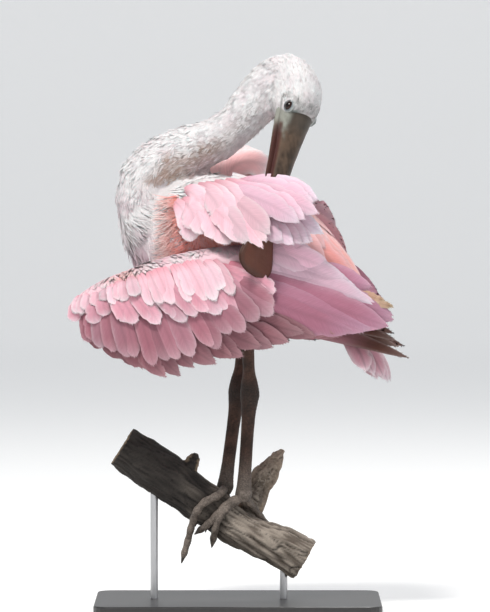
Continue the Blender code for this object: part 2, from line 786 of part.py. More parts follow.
COAT_PADS = {
    "scapulars_left": ((-72, -40, 428, 10, 6), (-50, -42, 434, 16, 8), (-20, -38, 440, 16, 8), (0, -32, 442, 8, 5)),
    "scapulars_right": ((-72, 40, 428, 10, 6), (-40, 36, 440, 18, 9), (0, 30, 444, 18, 9), (22, 24, 438, 8, 5)),
    "tail": ((104, 0, 303, 16, 12), (116, 0, 296, 19, 12), (126, 0, 286, 17, 9), (134, 0, 277, 12, 4)),
}


def make_coat(name, tracts, side, finish, neighbours):
    """A node of feathers that grow from a thin pad on the body under them."""
    pad = tube(name, COAT_PADS[name], finish, sides=12, steps=6)
    return make_feathers(name, pad, tracts, side, finish, neighbours)


def on_torso(share, angle, lift):
    """A point over the torso's surface, at an angle in degrees from its ridge towards the right."""
    here = sample(TORSO, share)
    ahead = sample(TORSO, share - 0.01) - sample(TORSO, share + 0.01)
    along = Vector(ahead[:3]).normalized()
    ridge = Vector((-along.z, 0, along.x))
    sine, cosine = math.sin(math.radians(angle)), math.cos(math.radians(angle))
    reach = Vector((0, (here[3] + lift) * sine, 0)) + ridge * (here[4] + lift) * cosine
    return Vector(here[:3]) + reach


def make_back(torso, neighbours):
    """The lower back's feathers, which grow from a band across it."""
    roots = [on_torso(BACK_ROOTS[0], a, BACK_ROOTS[1]) for a in BACK_ANGLES]
    tips = [on_torso(BACK_TIPS[0], a, BACK_TIPS[1]) for a in BACK_ANGLES]
    tract_spec = {
        "roots": roots, "tips": tips, "bow": (5, 0, 8),
        "width": (24, 24), "count": 6, "roll": 7, "outward": (0.55, 0, 0.85),
    }
    pad = tube("back_feathers", [(*p, 12, 6) for p in roots], "salmon_plumage", sides=10, steps=6, side=(1, 0, 0))
    return make_feathers("back_feathers", pad, {"back": tract_spec}, 1, "salmon_plumage", [torso, *neighbours])


def main():
    for old in list(bpy.data.objects):
        bpy.data.objects.remove(old)
    bpy.context.scene.collection.children.link(bpy.data.collections.new("spoonbill"))
    torso = make_torso()
    head, eyes = make_head()
    bill = make_bill(head)
    neck = make_neck(torso, head)
    perch = make_perch()
    for side_name in ("left", "right"):
        make_leg(side_name, torso, perch)
    tail = make_coat("tail", TAIL_TRACTS, 1, "pink_plumage", [torso])
    left = tube("wing_left", WING_CORE_LEFT, "pink_plumage", sides=12, steps=10)
    make_feathers("wing_left", left, WING_TRACTS_LEFT, -1, "pink_plumage", [torso, neck[0], tail, *bill])
    right = tube("wing_right", WING_CORE_RIGHT, "pink_plumage", sides=12, steps=8)
    make_feathers("wing_right", right, WING_TRACTS_RIGHT, 1, "pink_plumage", [torso, neck[0], tail])
    back = make_back(torso, [tail, left, right])
    make_coat("scapulars_left", SCAPULARS_LEFT, -1, "pale_pink", [torso, left, back, *neck, *bill])
    make_coat("scapulars_right", SCAPULARS_RIGHT, 1, "pale_pink", [torso, right, back, *neck])
    make_stand(perch)


main()
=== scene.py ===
"""The looks of a roseate spoonbill that preens its back, on a cut length of dead branch over a display stand.

Places and sizes are in millimetres in the part's own frame, and become metres where a mesh is made. The
tables that the solids also use are repeated here with the same values.
"""

import math

import bmesh
import bpy
import numpy as np
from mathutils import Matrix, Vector
from mathutils.bvhtree import BVHTree


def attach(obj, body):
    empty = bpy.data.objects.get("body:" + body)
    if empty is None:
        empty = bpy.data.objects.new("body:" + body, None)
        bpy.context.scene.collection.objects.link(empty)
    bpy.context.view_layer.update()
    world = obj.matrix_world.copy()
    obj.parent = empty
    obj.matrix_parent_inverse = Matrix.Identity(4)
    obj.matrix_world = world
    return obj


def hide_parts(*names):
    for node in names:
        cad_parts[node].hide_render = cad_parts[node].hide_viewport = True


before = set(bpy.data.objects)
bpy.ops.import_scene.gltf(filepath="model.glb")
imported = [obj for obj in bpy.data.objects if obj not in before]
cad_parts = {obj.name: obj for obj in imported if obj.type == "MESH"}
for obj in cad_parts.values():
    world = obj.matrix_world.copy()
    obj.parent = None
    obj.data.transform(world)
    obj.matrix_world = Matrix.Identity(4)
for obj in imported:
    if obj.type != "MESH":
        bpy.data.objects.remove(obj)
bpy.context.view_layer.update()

MM = 0.001
DOWN = np.array((0.0, 0.0, -1.0))
LEFT, RIGHT = -1, 1
PATCH = 0.003  # of one tuft on the bake map
WAVES = 14  # that make up a noise
WELD = 0.001
RELAX_STEPS = 6
UNWRAP_ANGLE = math.radians(72)
UNWRAP_MARGIN = 0.004
CHUNK = 4000  # points that are compared with the axis at a time

# Scatter: points thrown for each one wanted, size of the cell that keeps one, and primes that number cells
THROWS = 2.6
CELL = 0.92
CELL_PRIMES = np.array((73856093, 19349663, 83492791))

# The photo's framing: what the camera looks at, its distance and elevation, and the height that it sees
CAMERA_TARGET = (7.4, 0.0, 318.0)
CAMERA_DISTANCE = 6000.0
CAMERA_ELEVATION = math.radians(2.0)
FRAME_HEIGHT = 643.0
SENSOR = 36.0
CLIP_END = 60.0  # in metres

# Each light's name, place in metres, diameter, power and colour
LIGHT_TARGET = Vector((0.0, 0.0, 0.33))
LIGHTS = (
    ("key", (-0.7, -1.5, 3.1), 0.7, 84, (1.0, 0.98, 0.95)),
    ("fill", (2.4, -2.2, 1.1), 1.8, 9, (0.95, 0.97, 1.0)),
    ("back", (0.6, 1.9, 2.9), 1.2, 34, (1.0, 0.99, 0.97)),
)
SKY = (0.92, 0.95, 1.0, 1)
SKY_STRENGTH = 0.46

# The floor: its shade and faint glow, and in metres its flat radius, the radius of its bend and its height
FLOOR_SHADE = (0.78, 0.78, 0.77, 1)
FLOOR_GLOW = (0.97, 0.98, 1.0, 1)
FLOOR_STRENGTH = 0.27
FLOOR_FLAT = 7.0
FLOOR_BEND = 1.6
FLOOR_HEIGHT = 2.6

COAT_DEPTH = 1.8  # how deep the skin lies under the solids' surface
SKIN_VOXEL = 2.4
SKIN_SWELL = 0.9  # that joins the solids before the skin sinks again
PERCH_Y = -4.0
PERCH_VOXEL = 1.7

BILL_ROOT = np.array((57.0, -38.0, 511.0))
BILL_TIP = np.array((18.0, -95.0, 354.0))
BILL_LENGTH = np.linalg.norm(BILL_TIP - BILL_ROOT)
HEAD_YAW = math.radians(40.0)
MOUTH_SHIFT = 4.0
NOSTRIL = (19.7, 10.8)  # along the bill from its root, and to each side
EYE_RADIUS = 6.2
EYE_PLACE = (10.4, 6.6)
EYE_APART = 17.6
FEATHER_LINE = 2.5  # height over the bill's root where the face's feathers start

# Body forms: x, y, z of the axis, half width, half height
TORSO = (
    (124, 0, 291, 7, 8), (112, 0, 301, 20, 23), (80, 0, 325, 42, 49), (30, 0, 355, 58, 70),
    (-20, 0, 378, 63, 79), (-62, 0, 389, 55, 70), (-96, 0, 394, 34, 44), (-116, 0, 398, 10, 16),
)
NECK = (
    (-64, 0, 372, 34, 40), (-86, 0, 396, 33, 38), (-98, 0, 424, 29, 31), (-103, -1, 448, 25, 26.5),
    (-84, -3, 469, 23, 26.5), (-52, -5, 482, 23, 27), (-24, -7, 492, 21, 25.5), (0, -9, 510, 19.5, 23.5),
    (20, -9, 533, 20.5, 27), (40, -7, 553, 20.5, 28.5), (56, -2, 565, 17, 22),
)
# Along the head from the bill's root: height, shift to the crown, half width, half depth
HEAD = (
    (0.5, 3.5, 20.0, 20.5), (12.0, 1.2, 22.8, 26.5), (25.0, -1.5, 24.5, 28.5), (38.0, -6.5, 24.5, 27.0),
    (50.0, -15.0, 23.5, 24.5), (60.0, -24.5, 20.5, 20.5), (68.5, -33.0, 14.0, 14.5), (73.5, -38.0, 4.0, 5.0),
)
# Share of the bill, half width, thickness of the upper and of the lower mandible, gap between them
BILL = (
    (-0.06, 19.5, 24.0, 13.0, 0.6), (0.0, 19.0, 22.0, 12.5, 0.9), (0.07, 17.6, 18.0, 10.6, 2.4),
    (0.15, 15.8, 15.0, 9.0, 4.0), (0.26, 13.6, 11.5, 7.2, 5.4), (0.38, 12.2, 9.2, 5.8, 6.0),
    (0.50, 11.2, 7.3, 4.8, 6.0), (0.62, 11.4, 5.6, 4.0, 5.4), (0.72, 14.0, 4.8, 3.2, 4.6),
    (0.8, 19.5, 4.2, 2.8, 3.8), (0.87, 24.5, 3.7, 2.6, 3.2), (0.92, 26.0, 3.4, 2.5, 2.8),
    (0.96, 23.5, 3.2, 2.3, 2.4), (0.985, 17.0, 2.6, 2.0, 2.2), (1.0, 8.0, 1.8, 1.4, 2.0),
)
WING_CORE_LEFT = (
    (-177, -78, 312, 3, 5), (-166, -79, 318, 8, 12), (-140, -80, 328, 10, 20), (-108, -79, 337, 11, 24),
    (-70, -75, 347, 14, 27), (-30, -68, 354, 18, 28), (6, -60, 362, 18, 24), (28, -50, 368, 10, 14),
)
WING_CORE_RIGHT = (
    (-112, 52, 372, 6, 8), (-100, 58, 376, 12, 18), (-70, 64, 382, 14, 26), (-30, 66, 386, 14, 30),
    (10, 62, 390, 14, 26), (34, 52, 390, 10, 14),
)
PERCH = (
    (-122, 170, 21), (-92, 151, 24), (-61, 128, 23), (-30, 106, 21),
    (0, 84.5, 20), (24, 73, 20.5), (48, 63, 22), (70, 50, 22),
)
PERCH_STUB = (
    (2, 12, 88, 14), (14, 20, 107, 13.5), (25, 25, 130, 12.5), (37, 28, 149, 11), (48, 31, 165, 2.5),
)
PERCH_KNOT = ((-62, -4, 128, 10), (-52, -4, 146, 9), (-46, -3, 158, 7), (-44, -3, 163, 3))
LEGS = {
    "left": {
        "hip": (10, -34, 318), "shank": (10.5, -24, 276), "hock": (12.5, -16, 226), "ankle": (6, -15, 124),
        "toes": (
            (-1, ((-10, 112), (-24, 98), (-33, 89), (-39, 84))),
            (-1, ((-9, 109), (-20, 97), (-24, 84), (-26, 73))),
            (1, ((10, 101), (9, 88), (7, 75))),
        ),
        "hallux": (1, ((22, 98), (32, 84), (38, 70))),
    },
    "right": {
        "hip": (4, 32, 318), "shank": (5, 22, 276), "hock": (0, 13, 228), "ankle": (-13, 10, 131),
        "toes": (
            (-1, ((-20, 121), (-34, 114), (-43, 104), (-48, 90), (-52, 74), (-56, 60))),
            (1, ((-28, 120), (-38, 110), (-42, 96))),
            (1, ((-23, 117), (-29, 104), (-32, 90))),
        ),
        "hallux": (1, ((-11, 108), (-12, 95), (-12, 83))),
    },
}

# Linear colours
WHITE = (0.83, 0.80, 0.80)
SOFT_WHITE = (0.76, 0.69, 0.71)
# Painted shade on white feathers, where they turn away from the light
LAVENDER = (0.56, 0.41, 0.46)
BEIGE = (0.47, 0.34, 0.27)
FLECK = (0.13, 0.10, 0.09)
BLUSH = (0.84, 0.56, 0.62)
ROSE = (0.76, 0.34, 0.41)
# Deeper painted shade on white feathers
MAUVE = (0.42, 0.22, 0.26)
SALMON = (0.80, 0.28, 0.25)
QUILL_BROWN = (0.075, 0.026, 0.016)
FACE = (0.38, 0.40, 0.385)
FACE_DARK = (0.09, 0.10, 0.09)
LID = (0.21, 0.235, 0.25)
FOOT_TONES = ((0.085, 0.068, 0.056), (0.19, 0.155, 0.13))
CLAW_TONES = ((0.03, 0.024, 0.02), (0.07, 0.055, 0.045))
LEG_TONES = ((0.026, 0.012, 0.007), (0.066, 0.031, 0.020))


def unit(v):
    return v / np.maximum(np.linalg.norm(v, axis=-1, keepdims=True), 1e-9)


def smooth(low, high, values):
    """0 under low, 1 over high, and smooth between them."""
    share = np.clip((np.asarray(values, float) - low) / (high - low), 0.0, 1.0)
    return share * share * (3 - 2 * share)


def bell(values, middle, width):
    """1 at the middle, and close to 0 from two widths away."""
    return np.exp(-(((values - middle) / width) ** 2))


def blend(first, second, share):
    """A mix of two colours, or of two arrays of them, by a share for each point."""
    return np.asarray(first) * (1 - share[..., None]) + np.asarray(second) * share[..., None]


def noise(points, size, seed):
    """Smooth numbers, mostly from -1 to 1, that vary over about size millimetres."""
    rng = np.random.default_rng(seed)
    turns = unit(rng.normal(size=(WAVES, 3))) * (math.tau / size) * rng.uniform(0.45, 1.3, (WAVES, 1))
    total = np.sin(points @ turns.T + rng.uniform(0, math.tau, WAVES)).sum(axis=-1)
    return total / math.sqrt(WAVES / 2) * 0.8


def clouds(points, size, seed):
    """Three numbers like noise's for each point, as a vector."""
    return np.stack([noise(points, size, seed + i) for i in range(3)], axis=-1)


def sample(points, t):
    """A smooth curve through the points, read at an array of shares from 0 to 1."""
    points = np.asarray(points, float)
    last = len(points) - 1
    place = np.clip(np.asarray(t, float), 0.0, 1.0) * last
    i = np.minimum(place.astype(int), last - 1)
    f = (place - i)[..., None]
    padded = np.vstack((2 * points[0] - points[1], points, 2 * points[-1] - points[-2]))
    p0, p1, p2, p3 = (padded[i + k] for k in range(4))
    cubic = (2 * p0 - 5 * p1 + 4 * p2 - p3) * f * f + (3 * p1 - p0 - 3 * p2 + p3) * f**3
    return 0.5 * (2 * p1 + (p2 - p0) * f + cubic)


def head_axes():
    """Unit vectors of the head: along the bill, out of the crown, and out of its right side."""
    bill = unit(BILL_TIP - BILL_ROOT)
    crown = np.array((math.cos(HEAD_YAW), -math.sin(HEAD_YAW), 0.0))
    crown = unit(crown - bill * bill.dot(crown))
    return bill, crown, np.cross(bill, crown)


BILL_WAY, CROWN_WAY, RIGHT_WAY = head_axes()


def head_point(height, shift, sideways=0.0):
    return BILL_ROOT - BILL_WAY * height + CROWN_WAY * shift + RIGHT_WAY * sideways


def head_places(points):
    """Height over the bill's root, shift to the crown and place to the right, for each point."""
    offset = points - BILL_ROOT
    return -offset @ BILL_WAY, offset @ CROWN_WAY, offset @ RIGHT_WAY


# Materials


def node_tree(name, roughness, sheen=0.0, subsurface=0.0, coat=0.0, metallic=0.0, specular=0.5):
    """A material and its shader, with the numbers that hold all over set on the shader's own sockets."""
    made = bpy.data.materials.new(name)
    made.use_nodes = True
    shader = made.node_tree.nodes["Principled BSDF"]
    settings = {
        "Roughness": roughness, "Sheen Weight": sheen, "Sheen Roughness": 0.4,
        "Subsurface Weight": subsurface, "Coat Weight": coat, "Coat Roughness": 0.08,
        "Metallic": metallic, "Specular IOR Level": specular,
    }
    for socket, value in settings.items():
        shader.inputs[socket].default_value = value
    shader.inputs["Subsurface Radius"].default_value = (0.004, 0.003, 0.003)
    return made, made.node_tree, shader


def feed(tree, socket, value):
    """Links an output to an input, or sets the input to a plain value."""
    if isinstance(value, bpy.types.NodeSocket):
        tree.links.new(value, socket)
    else:
        socket.default_value = value


def add(tree, kind, **values):
    """A node, with what feeds its inputs and with its settings, each by its name."""
    made = tree.nodes.new(kind)
    for key, value in values.items():
        if key in made.inputs:
            feed(tree, made.inputs[key], value)
        else:
            setattr(made, key, value)
    return made


def maths(tree, operation, *terms):
    """The result of a maths node over sockets and numbers."""
    made = add(tree, "ShaderNodeMath", operation=operation)
    for socket, term in zip(made.inputs, terms):
        feed(tree, socket, term)
    return made.outputs["Value"]


def texture_noise(tree, place, scale, detail, roughness):
    made = add(tree, "ShaderNodeTexNoise", Vector=place, Scale=scale, Detail=detail, Roughness=roughness)
    return made.outputs["Fac"]


def tinted(tree, shader, factor, low, high):
    """Base colour: the mesh's own tint, made darker or lighter by a factor."""
    tint = add(tree, "ShaderNodeAttribute", attribute_name="Tint")
    shade = add(tree, "ShaderNodeMapRange", **{"Value": factor, "To Min": low, "To Max": high})
    mixed = add(tree, "ShaderNodeVectorMath", operation="SCALE", Scale=shade.outputs["Result"])
    feed(tree, mixed.inputs[0], tint.outputs["Color"])
    feed(tree, shader.inputs["Base Color"], mixed.outputs["Vector"])


def bumped(tree, shader, height, strength, distance):
    bump = add(tree, "ShaderNodeBump", Strength=strength, Distance=distance, Height=height)
    feed(tree, shader.inputs["Normal"], bump.outputs["Normal"])


def feather_material(name, streak, low, high, relief, subsurface, sheen):
    """Barbs that sweep back from the shaft, read from a map of millimetres across and along a vane."""
    made, tree, shader = node_tree(name, 0.8, sheen, subsurface, specular=0.25)
    place = add(tree, "ShaderNodeUVMap", uv_map="Vane")
    parts = add(tree, "ShaderNodeSeparateXYZ", Vector=place.outputs["UV"])
    across, along = parts.outputs["X"], parts.outputs["Y"]
    swept = maths(tree, "MULTIPLY_ADD", maths(tree, "ABSOLUTE", across), -0.9, along)
    barbs = add(tree, "ShaderNodeCombineXYZ", X=maths(tree, "MULTIPLY", across, 0.12), Y=swept)
    lines = texture_noise(tree, barbs.outputs["Vector"], streak, 3.0, 0.6)
    tinted(tree, shader, lines, low, high)
    bumped(tree, shader, lines, relief, 0.0006)
    return made


def skin_material(name, scale, low, high, roughness, distance, scaly=False, **gloss):
    """A surface broken by grain, and by cells where it is scaly, with the mesh's own tint."""
    made, tree, shader = node_tree(name, roughness, **gloss)
    place = add(tree, "ShaderNodeTexCoord").outputs["Object"]
    height = texture_noise(tree, place, scale, 5.0, 0.62)
    if scaly:
        around = add(tree, "ShaderNodeUVMap", uv_map="Vane").outputs["UV"]
        cells = add(tree, "ShaderNodeTexVoronoi", feature="DISTANCE_TO_EDGE", Scale=0.42, Randomness=0.75)
        feed(tree, cells.inputs["Vector"], around)
        edge = add(tree, "ShaderNodeMapRange", **{"From Max": 0.16, "Value": cells.outputs["Distance"]})
        height = maths(tree, "MULTIPLY_ADD", height, 0.45, edge.outputs["Result"])
    tinted(tree, shader, height, low, high)
    bumped(tree, shader, height, 0.7, distance)
    return made


def plain_material(name, colour, roughness, scale, distance, stretch=(1, 1, 1), **gloss):
    """A made surface: one colour with fine grain in its shade and height."""
    made, tree, shader = node_tree(name, roughness, **gloss)
    place = add(tree, "ShaderNodeTexCoord").outputs["Object"]
    fit = add(tree, "ShaderNodeMapping", Scale=stretch, Vector=place).outputs["Vector"]
    height = texture_noise(tree, fit, scale, 4.0, 0.6)
    ramp = add(tree, "ShaderNodeValToRGB", Fac=height)
    for element, factor in zip(ramp.color_ramp.elements, (0.7, 1.25)):
        element.color = (*(min(c * factor, 1) for c in colour), 1)
    feed(tree, shader.inputs["Base Color"], ramp.outputs["Color"])
    bumped(tree, shader, height, 0.25, distance)
    return made


# Meshes


def placed(name, data):
    """An object in the scene that shows this mesh, light or camera."""
    made = bpy.data.objects.new(name, data)
    bpy.context.scene.collection.objects.link(made)
    return made


def read(items, key, width, kind=float):
    """Values of a mesh's points, corners or triangles, with a row for each."""
    flat = np.empty(len(items) * width, kind)
    items.foreach_get(key, flat)
    return flat.reshape(-1, width)


def show(name, mesh, material, replaces, tint, normals=None):
    """Puts a mesh in the scene as a piece that rides on the one body, with a colour for each point."""
    mesh.polygons.foreach_set("use_smooth", np.full(len(mesh.polygons), True))
    colours = np.ones((len(mesh.vertices), 4), np.float32)
    colours[:, :3] = np.clip(tint, 0, 1)
    mesh.color_attributes.new("Tint", "FLOAT_COLOR", "POINT").data.foreach_set("color", colours.ravel())
    if normals is not None:
        mesh.normals_split_custom_set_from_vertices(normals.astype(np.float32))
    mesh.materials.clear()
    mesh.materials.append(material)
    made = placed(name, mesh)
    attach(made, "root")
    if replaces:
        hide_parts(*replaces)


def piece(name, points, faces, material, slot, replaces=(), tint=None, vane=None, bake=None, normals=None):
    """A finished piece from points in millimetres and faces, with values for each point."""
    mesh = bpy.data.meshes.new(name)
    mesh.from_pydata((np.asarray(points) * MM).astype(np.float32), [], faces)
    corners = read(mesh.loops, "vertex_index", 1, np.int32)[:, 0]
    for title, values in (("Vane", vane), ("OFBake", bake)):
        if values is not None:
            layer = mesh.uv_layers.new(name=title)
            layer.uv.foreach_set("vector", np.asarray(values, np.float32)[corners].ravel())
    show(name, mesh, material, replaces, tint, normals)


def grid_faces(rows, columns, closed):
    """Quads over a grid of points, closed round each row or open, as indices."""
    across = columns if closed else columns - 1
    row, column = np.meshgrid(np.arange(rows - 1), np.arange(across), indexing="ij")
    after = (column + 1) % columns
    a, b = row * columns + column, row * columns + after
    return np.stack((a, b, b + columns, a + columns), axis=-1).reshape(-1, 4)


def tube_faces(rows, columns):
    """Faces over closed rings, with fans at both ends to two points that follow the rings' own."""
    faces = grid_faces(rows, columns, True).tolist()
    first, last = rows * columns, rows * columns + 1
    base = first - columns
    for i in range(columns):
        after = (i + 1) % columns
        faces += [(after, i, first), (base + i, base + after, last)]
    return faces


def limb(stations, steps, sides, side=(0, 1, 0), swell=None):
    """A closed tube along stations of (x, y, z, half width, half height): its points, faces and map.

    swell gives a factor on the radius from arrays of millimetres along the tube and of angles round it."""
    t = np.linspace(0, 1, steps + 1)
    here = sample(stations, t)
    centre, half_width, half_height = here[:, :3], here[:, 3], here[:, -1]
    along = unit(sample(stations, t + 0.004)[:, :3] - sample(stations, t - 0.004)[:, :3])
    across = unit(np.asarray(side, float) - along * (along @ np.asarray(side, float))[:, None])
    up = np.cross(along, across)
    run = np.concatenate(([0.0], np.cumsum(np.linalg.norm(np.diff(centre, axis=0), axis=1))))
    angle = np.arange(sides) * math.tau / sides
    factor = np.ones((steps + 1, sides)) if swell is None else swell(run[:, None], angle[None, :])
    wide = (np.cos(angle)[None, :] * half_width[:, None] * factor)[..., None] * across[:, None]
    high = (np.sin(angle)[None, :] * half_height[:, None] * factor)[..., None] * up[:, None]
    rings = centre[:, None] + wide + high
    points = np.concatenate((rings.reshape(-1, 3), centre[[0, -1]]))
    radius = (half_width + half_height) / 2
    vane = np.stack(np.broadcast_arrays((angle[None, :] - math.pi) * radius[:, None], run[:, None]), axis=-1)
    vane = np.concatenate((vane.reshape(-1, 2), [(0, run[0]), (0, run[-1])]))
    return points, tube_faces(steps + 1, sides), vane


def solid_mesh(parts, voxel, swell=0.0):
    """One smooth surface over closed parts: each part is swollen, and a voxel remesh joins them."""
    points, faces, count = [], [], 0
    for part_points, part_faces in parts:
        points.append(part_points)
        faces += [tuple(i + count for i in face) for face in part_faces]
        count += len(part_points)
    mesh = bpy.data.meshes.new("joined")
    mesh.from_pydata(np.concatenate(points).astype(np.float32), [], faces)
    weld = bmesh.new()
    weld.from_mesh(mesh)
    bmesh.ops.remove_doubles(weld, verts=weld.verts, dist=WELD)
    bmesh.ops.recalc_face_normals(weld, faces=weld.faces)
    weld.normal_update()
    for vertex in weld.verts:
        vertex.co += vertex.normal * swell
    weld.to_mesh(mesh)
    weld.free()
    holder = placed("joined", mesh)
    remesh = holder.modifiers.new("remesh", "REMESH")
    remesh.mode = "VOXEL"
    remesh.voxel_size = voxel
    relax = holder.modifiers.new("relax", "SMOOTH")
    relax.iterations = RELAX_STEPS
    bpy.context.view_layer.update()
    made = bpy.data.meshes.new_from_object(holder.evaluated_get(bpy.context.evaluated_depsgraph_get()))
    bpy.data.objects.remove(holder)
    return made


class Surface:
    """A surface that feathers grow from: its points, triangles, normals and unwrap, in millimetres."""

    def __init__(self, mesh, sink):
        self.normals = read(mesh.vertex_normals, "vector", 3)
        self.points = read(mesh.vertices, "co", 3) - self.normals * sink
        mesh.vertices.foreach_set("co", self.points.ravel())
        self.mesh = mesh
        self._unwrap()
        mesh.calc_loop_triangles()
        self.triangles = read(mesh.loop_triangles, "vertices", 3, np.int32)
        loops = read(mesh.loop_triangles, "loops", 3, np.int32)
        self.uv = read(mesh.uv_layers["OFBake"].uv, "vector", 2)[loops]
        corners = self.points[self.triangles]
        cross = np.cross(corners[:, 1] - corners[:, 0], corners[:, 2] - corners[:, 0])
        self.areas = np.linalg.norm(cross, axis=1) / 2
        self.tree = BVHTree.FromPolygons(self.points.tolist(), self.triangles.tolist())

    def _unwrap(self):
        holder = placed("unwrap", self.mesh)
        bpy.context.view_layer.objects.active = holder
        holder.select_set(True)
        self.mesh.uv_layers.new(name="OFBake")
        bpy.ops.object.mode_set(mode="EDIT")
        bpy.ops.mesh.select_all(action="SELECT")
        bpy.ops.uv.smart_project(angle_limit=UNWRAP_ANGLE, island_margin=UNWRAP_MARGIN)
        bpy.ops.object.mode_set(mode="OBJECT")
        bpy.data.objects.remove(holder)

    def scatter(self, spacing, seed, keep):
        """Points spread over the surface about spacing apart, with their normals and places on the unwrap."""
        rng = np.random.default_rng(seed)
        share = self.areas / self.areas.sum()
        count = int(self.areas.sum() / spacing**2 * THROWS)
        chosen = rng.choice(len(share), count, p=share)
        a, b = rng.random((2, count))
        flip = a + b > 1
        a[flip], b[flip] = 1 - a[flip], 1 - b[flip]
        mix = np.stack((1 - a - b, a, b), axis=-1)[..., None]
        places = (self.points[self.triangles[chosen]] * mix).sum(axis=1)
        normals = unit((self.normals[self.triangles[chosen]] * mix).sum(axis=1))
        uv = (self.uv[chosen] * mix).sum(axis=1)
        kept = keep(places, normals)
        places, normals, uv = places[kept], normals[kept], uv[kept]
        cells = np.floor(places / (spacing * CELL)).astype(np.int64)
        _, first = np.unique(cells @ CELL_PRIMES, return_index=True)
        first = np.sort(first)
        return places[first], normals[first], uv[first]

    def rooted(self, places):
        """Places on the unwrap nearest to points in space."""
        nearest = [self.tree.find_nearest(Vector(place))[2] for place in places]
        return self.uv[nearest].mean(axis=1)


# Feathers


def tufts(roots, lie, out, *, length, width, lift, jitter, thick, seed, rings=2, curl=0.0, sink=0.4):
    """Small closed feathers: a point at the root and at the tip, and rings of three points between them.

    Gives points, faces, the map in millimetres, each point's share of the length, and points per feather."""
    rng = np.random.default_rng(seed)
    count = len(roots)
    lie = unit(lie + rng.normal(0, jitter, (count, 3)))
    lie = unit(lie - out * (lie * out).sum(axis=1)[:, None])
    side = np.cross(out, lie)
    length = length * rng.uniform(0.8, 1.2, count)
    width = width * rng.uniform(0.85, 1.15, count)
    lift = lift * rng.uniform(0.5, 1.5, count) * np.where(rng.random(count) < 0.04, 1.9, 1)
    curl = curl + rng.normal(0, 0.04, count)
    bend = rng.normal(0, 0.1, count)
    steps = np.linspace(0, 1, rings + 2)
    points, vane, share = [], [], []
    for step, wide in zip(steps, np.sin(np.pi * steps**0.8) ** 0.6):
        rise = length * (lift * step + curl * step**2) - sink
        centre = roots + lie * (length * step)[:, None] + out * rise[:, None]
        centre = centre + side * (length * bend * step**2)[:, None]
        half = width * wide / 2
        away = side * half[:, None]
        ring = [(centre + away, half), (centre + out * thick, 0.0), (centre - away, -half)]
        if step in (0.0, 1.0):
            ring = [(centre, 0.0)]
        for place, across in ring:
            points.append(place)
            vane.append(np.stack((np.broadcast_to(across, count), length * step), axis=-1))
            share.append(np.full(count, step))
    each = len(points)
    points = np.stack(points, axis=1).reshape(-1, 3)
    vane = np.stack(vane, axis=1).reshape(-1, 2)
    share = np.stack(share, axis=1).reshape(-1)
    faces = []
    last = 1 + 3 * (rings - 1)
    for near, far in ((0, 1), (1, 2), (2, 0)):
        for a in range(1, last, 3):
            faces += [(a + near, a + far, a + far + 3), (a + near, a + far + 3, a + near + 3)]
        faces += [(0, 1 + far, 1 + near), (each - 1, last + near, last + far)]
    faces = np.array(faces)[None] + (np.arange(count) * each)[:, None, None]
    return points, faces.reshape(-1, 3), vane, share, each


def patches(uv, vane, share, each):
    """The bake map: each feather is a small patch at its root's place on the skin's unwrap."""
    wide = np.abs(vane[:, 0]).max() + 1e-6
    offset = np.stack((vane[:, 0] / wide / 2, share - 0.5), axis=-1) * PATCH
    return np.repeat(uv, each, axis=0) + offset


def coat(name, scattered, lie, colours, slot, material, fade=1.3, **shape):
    """A piece of small feathers. colours holds each one's colour at its root and at its tip.

    Their normals are those of the surface below, so that the coat is shaded as one soft form."""
    places, normals, uv = scattered
    points, faces, vane, share, each = tufts(places, lie, normals, **shape)
    soft = np.repeat(normals, each, axis=0)
    root, tip = (np.repeat(c, each, axis=0) for c in colours)
    tint = blend(root, tip, share**fade)
    bake = patches(uv, vane, share, each)
    piece(name, points, faces, material, slot, tint=tint, vane=vane, bake=bake, normals=soft)


# A vane's outline: its width at the root as a share of the full width, the share of its length where it
# starts to close towards the tip, and how bluntly it closes
POINTED = (0.36, 0.6, 0.72)
ROUNDED = (0.45, 0.74, 0.52)

# Points along and across each face of a vane, and loose barbs at its edges
VANE_ROWS = 22
VANE_COLUMNS = 9
LOOSE_BARBS = 84

# Thickness of a vane and height of its shaft. Then as shares of its length or half width: where its splits
# are, how deep and how wide, how much its edge ripples, and how far its edge sweeps back
VANE_THICK = 0.42
SHAFT_HEIGHT = 0.35
SPLIT_PLACES = (0.45, 0.97)
SPLIT_DEPTHS = (0.05, 0.28)
SPLIT_WIDTH = 0.03
EDGE_RIPPLE = 0.05
EDGE_SWEEP = 0.28


def outline(form, t):
    root, start, blunt = form
    rise = root + (1 - root) * np.sin(np.clip(t / 0.6, 0, 1) * math.pi / 2)
    closing = np.clip((t - start) / (1 - start), 0, 1)
    return rise * np.maximum(1 - closing**2, 0.0) ** blunt + 0.012


def two_faced(top, under):
    """Values of the upper and then of the lower face of every vane, as one list of rows."""
    return np.concatenate((top, under), axis=1).reshape(-1, top.shape[-1])


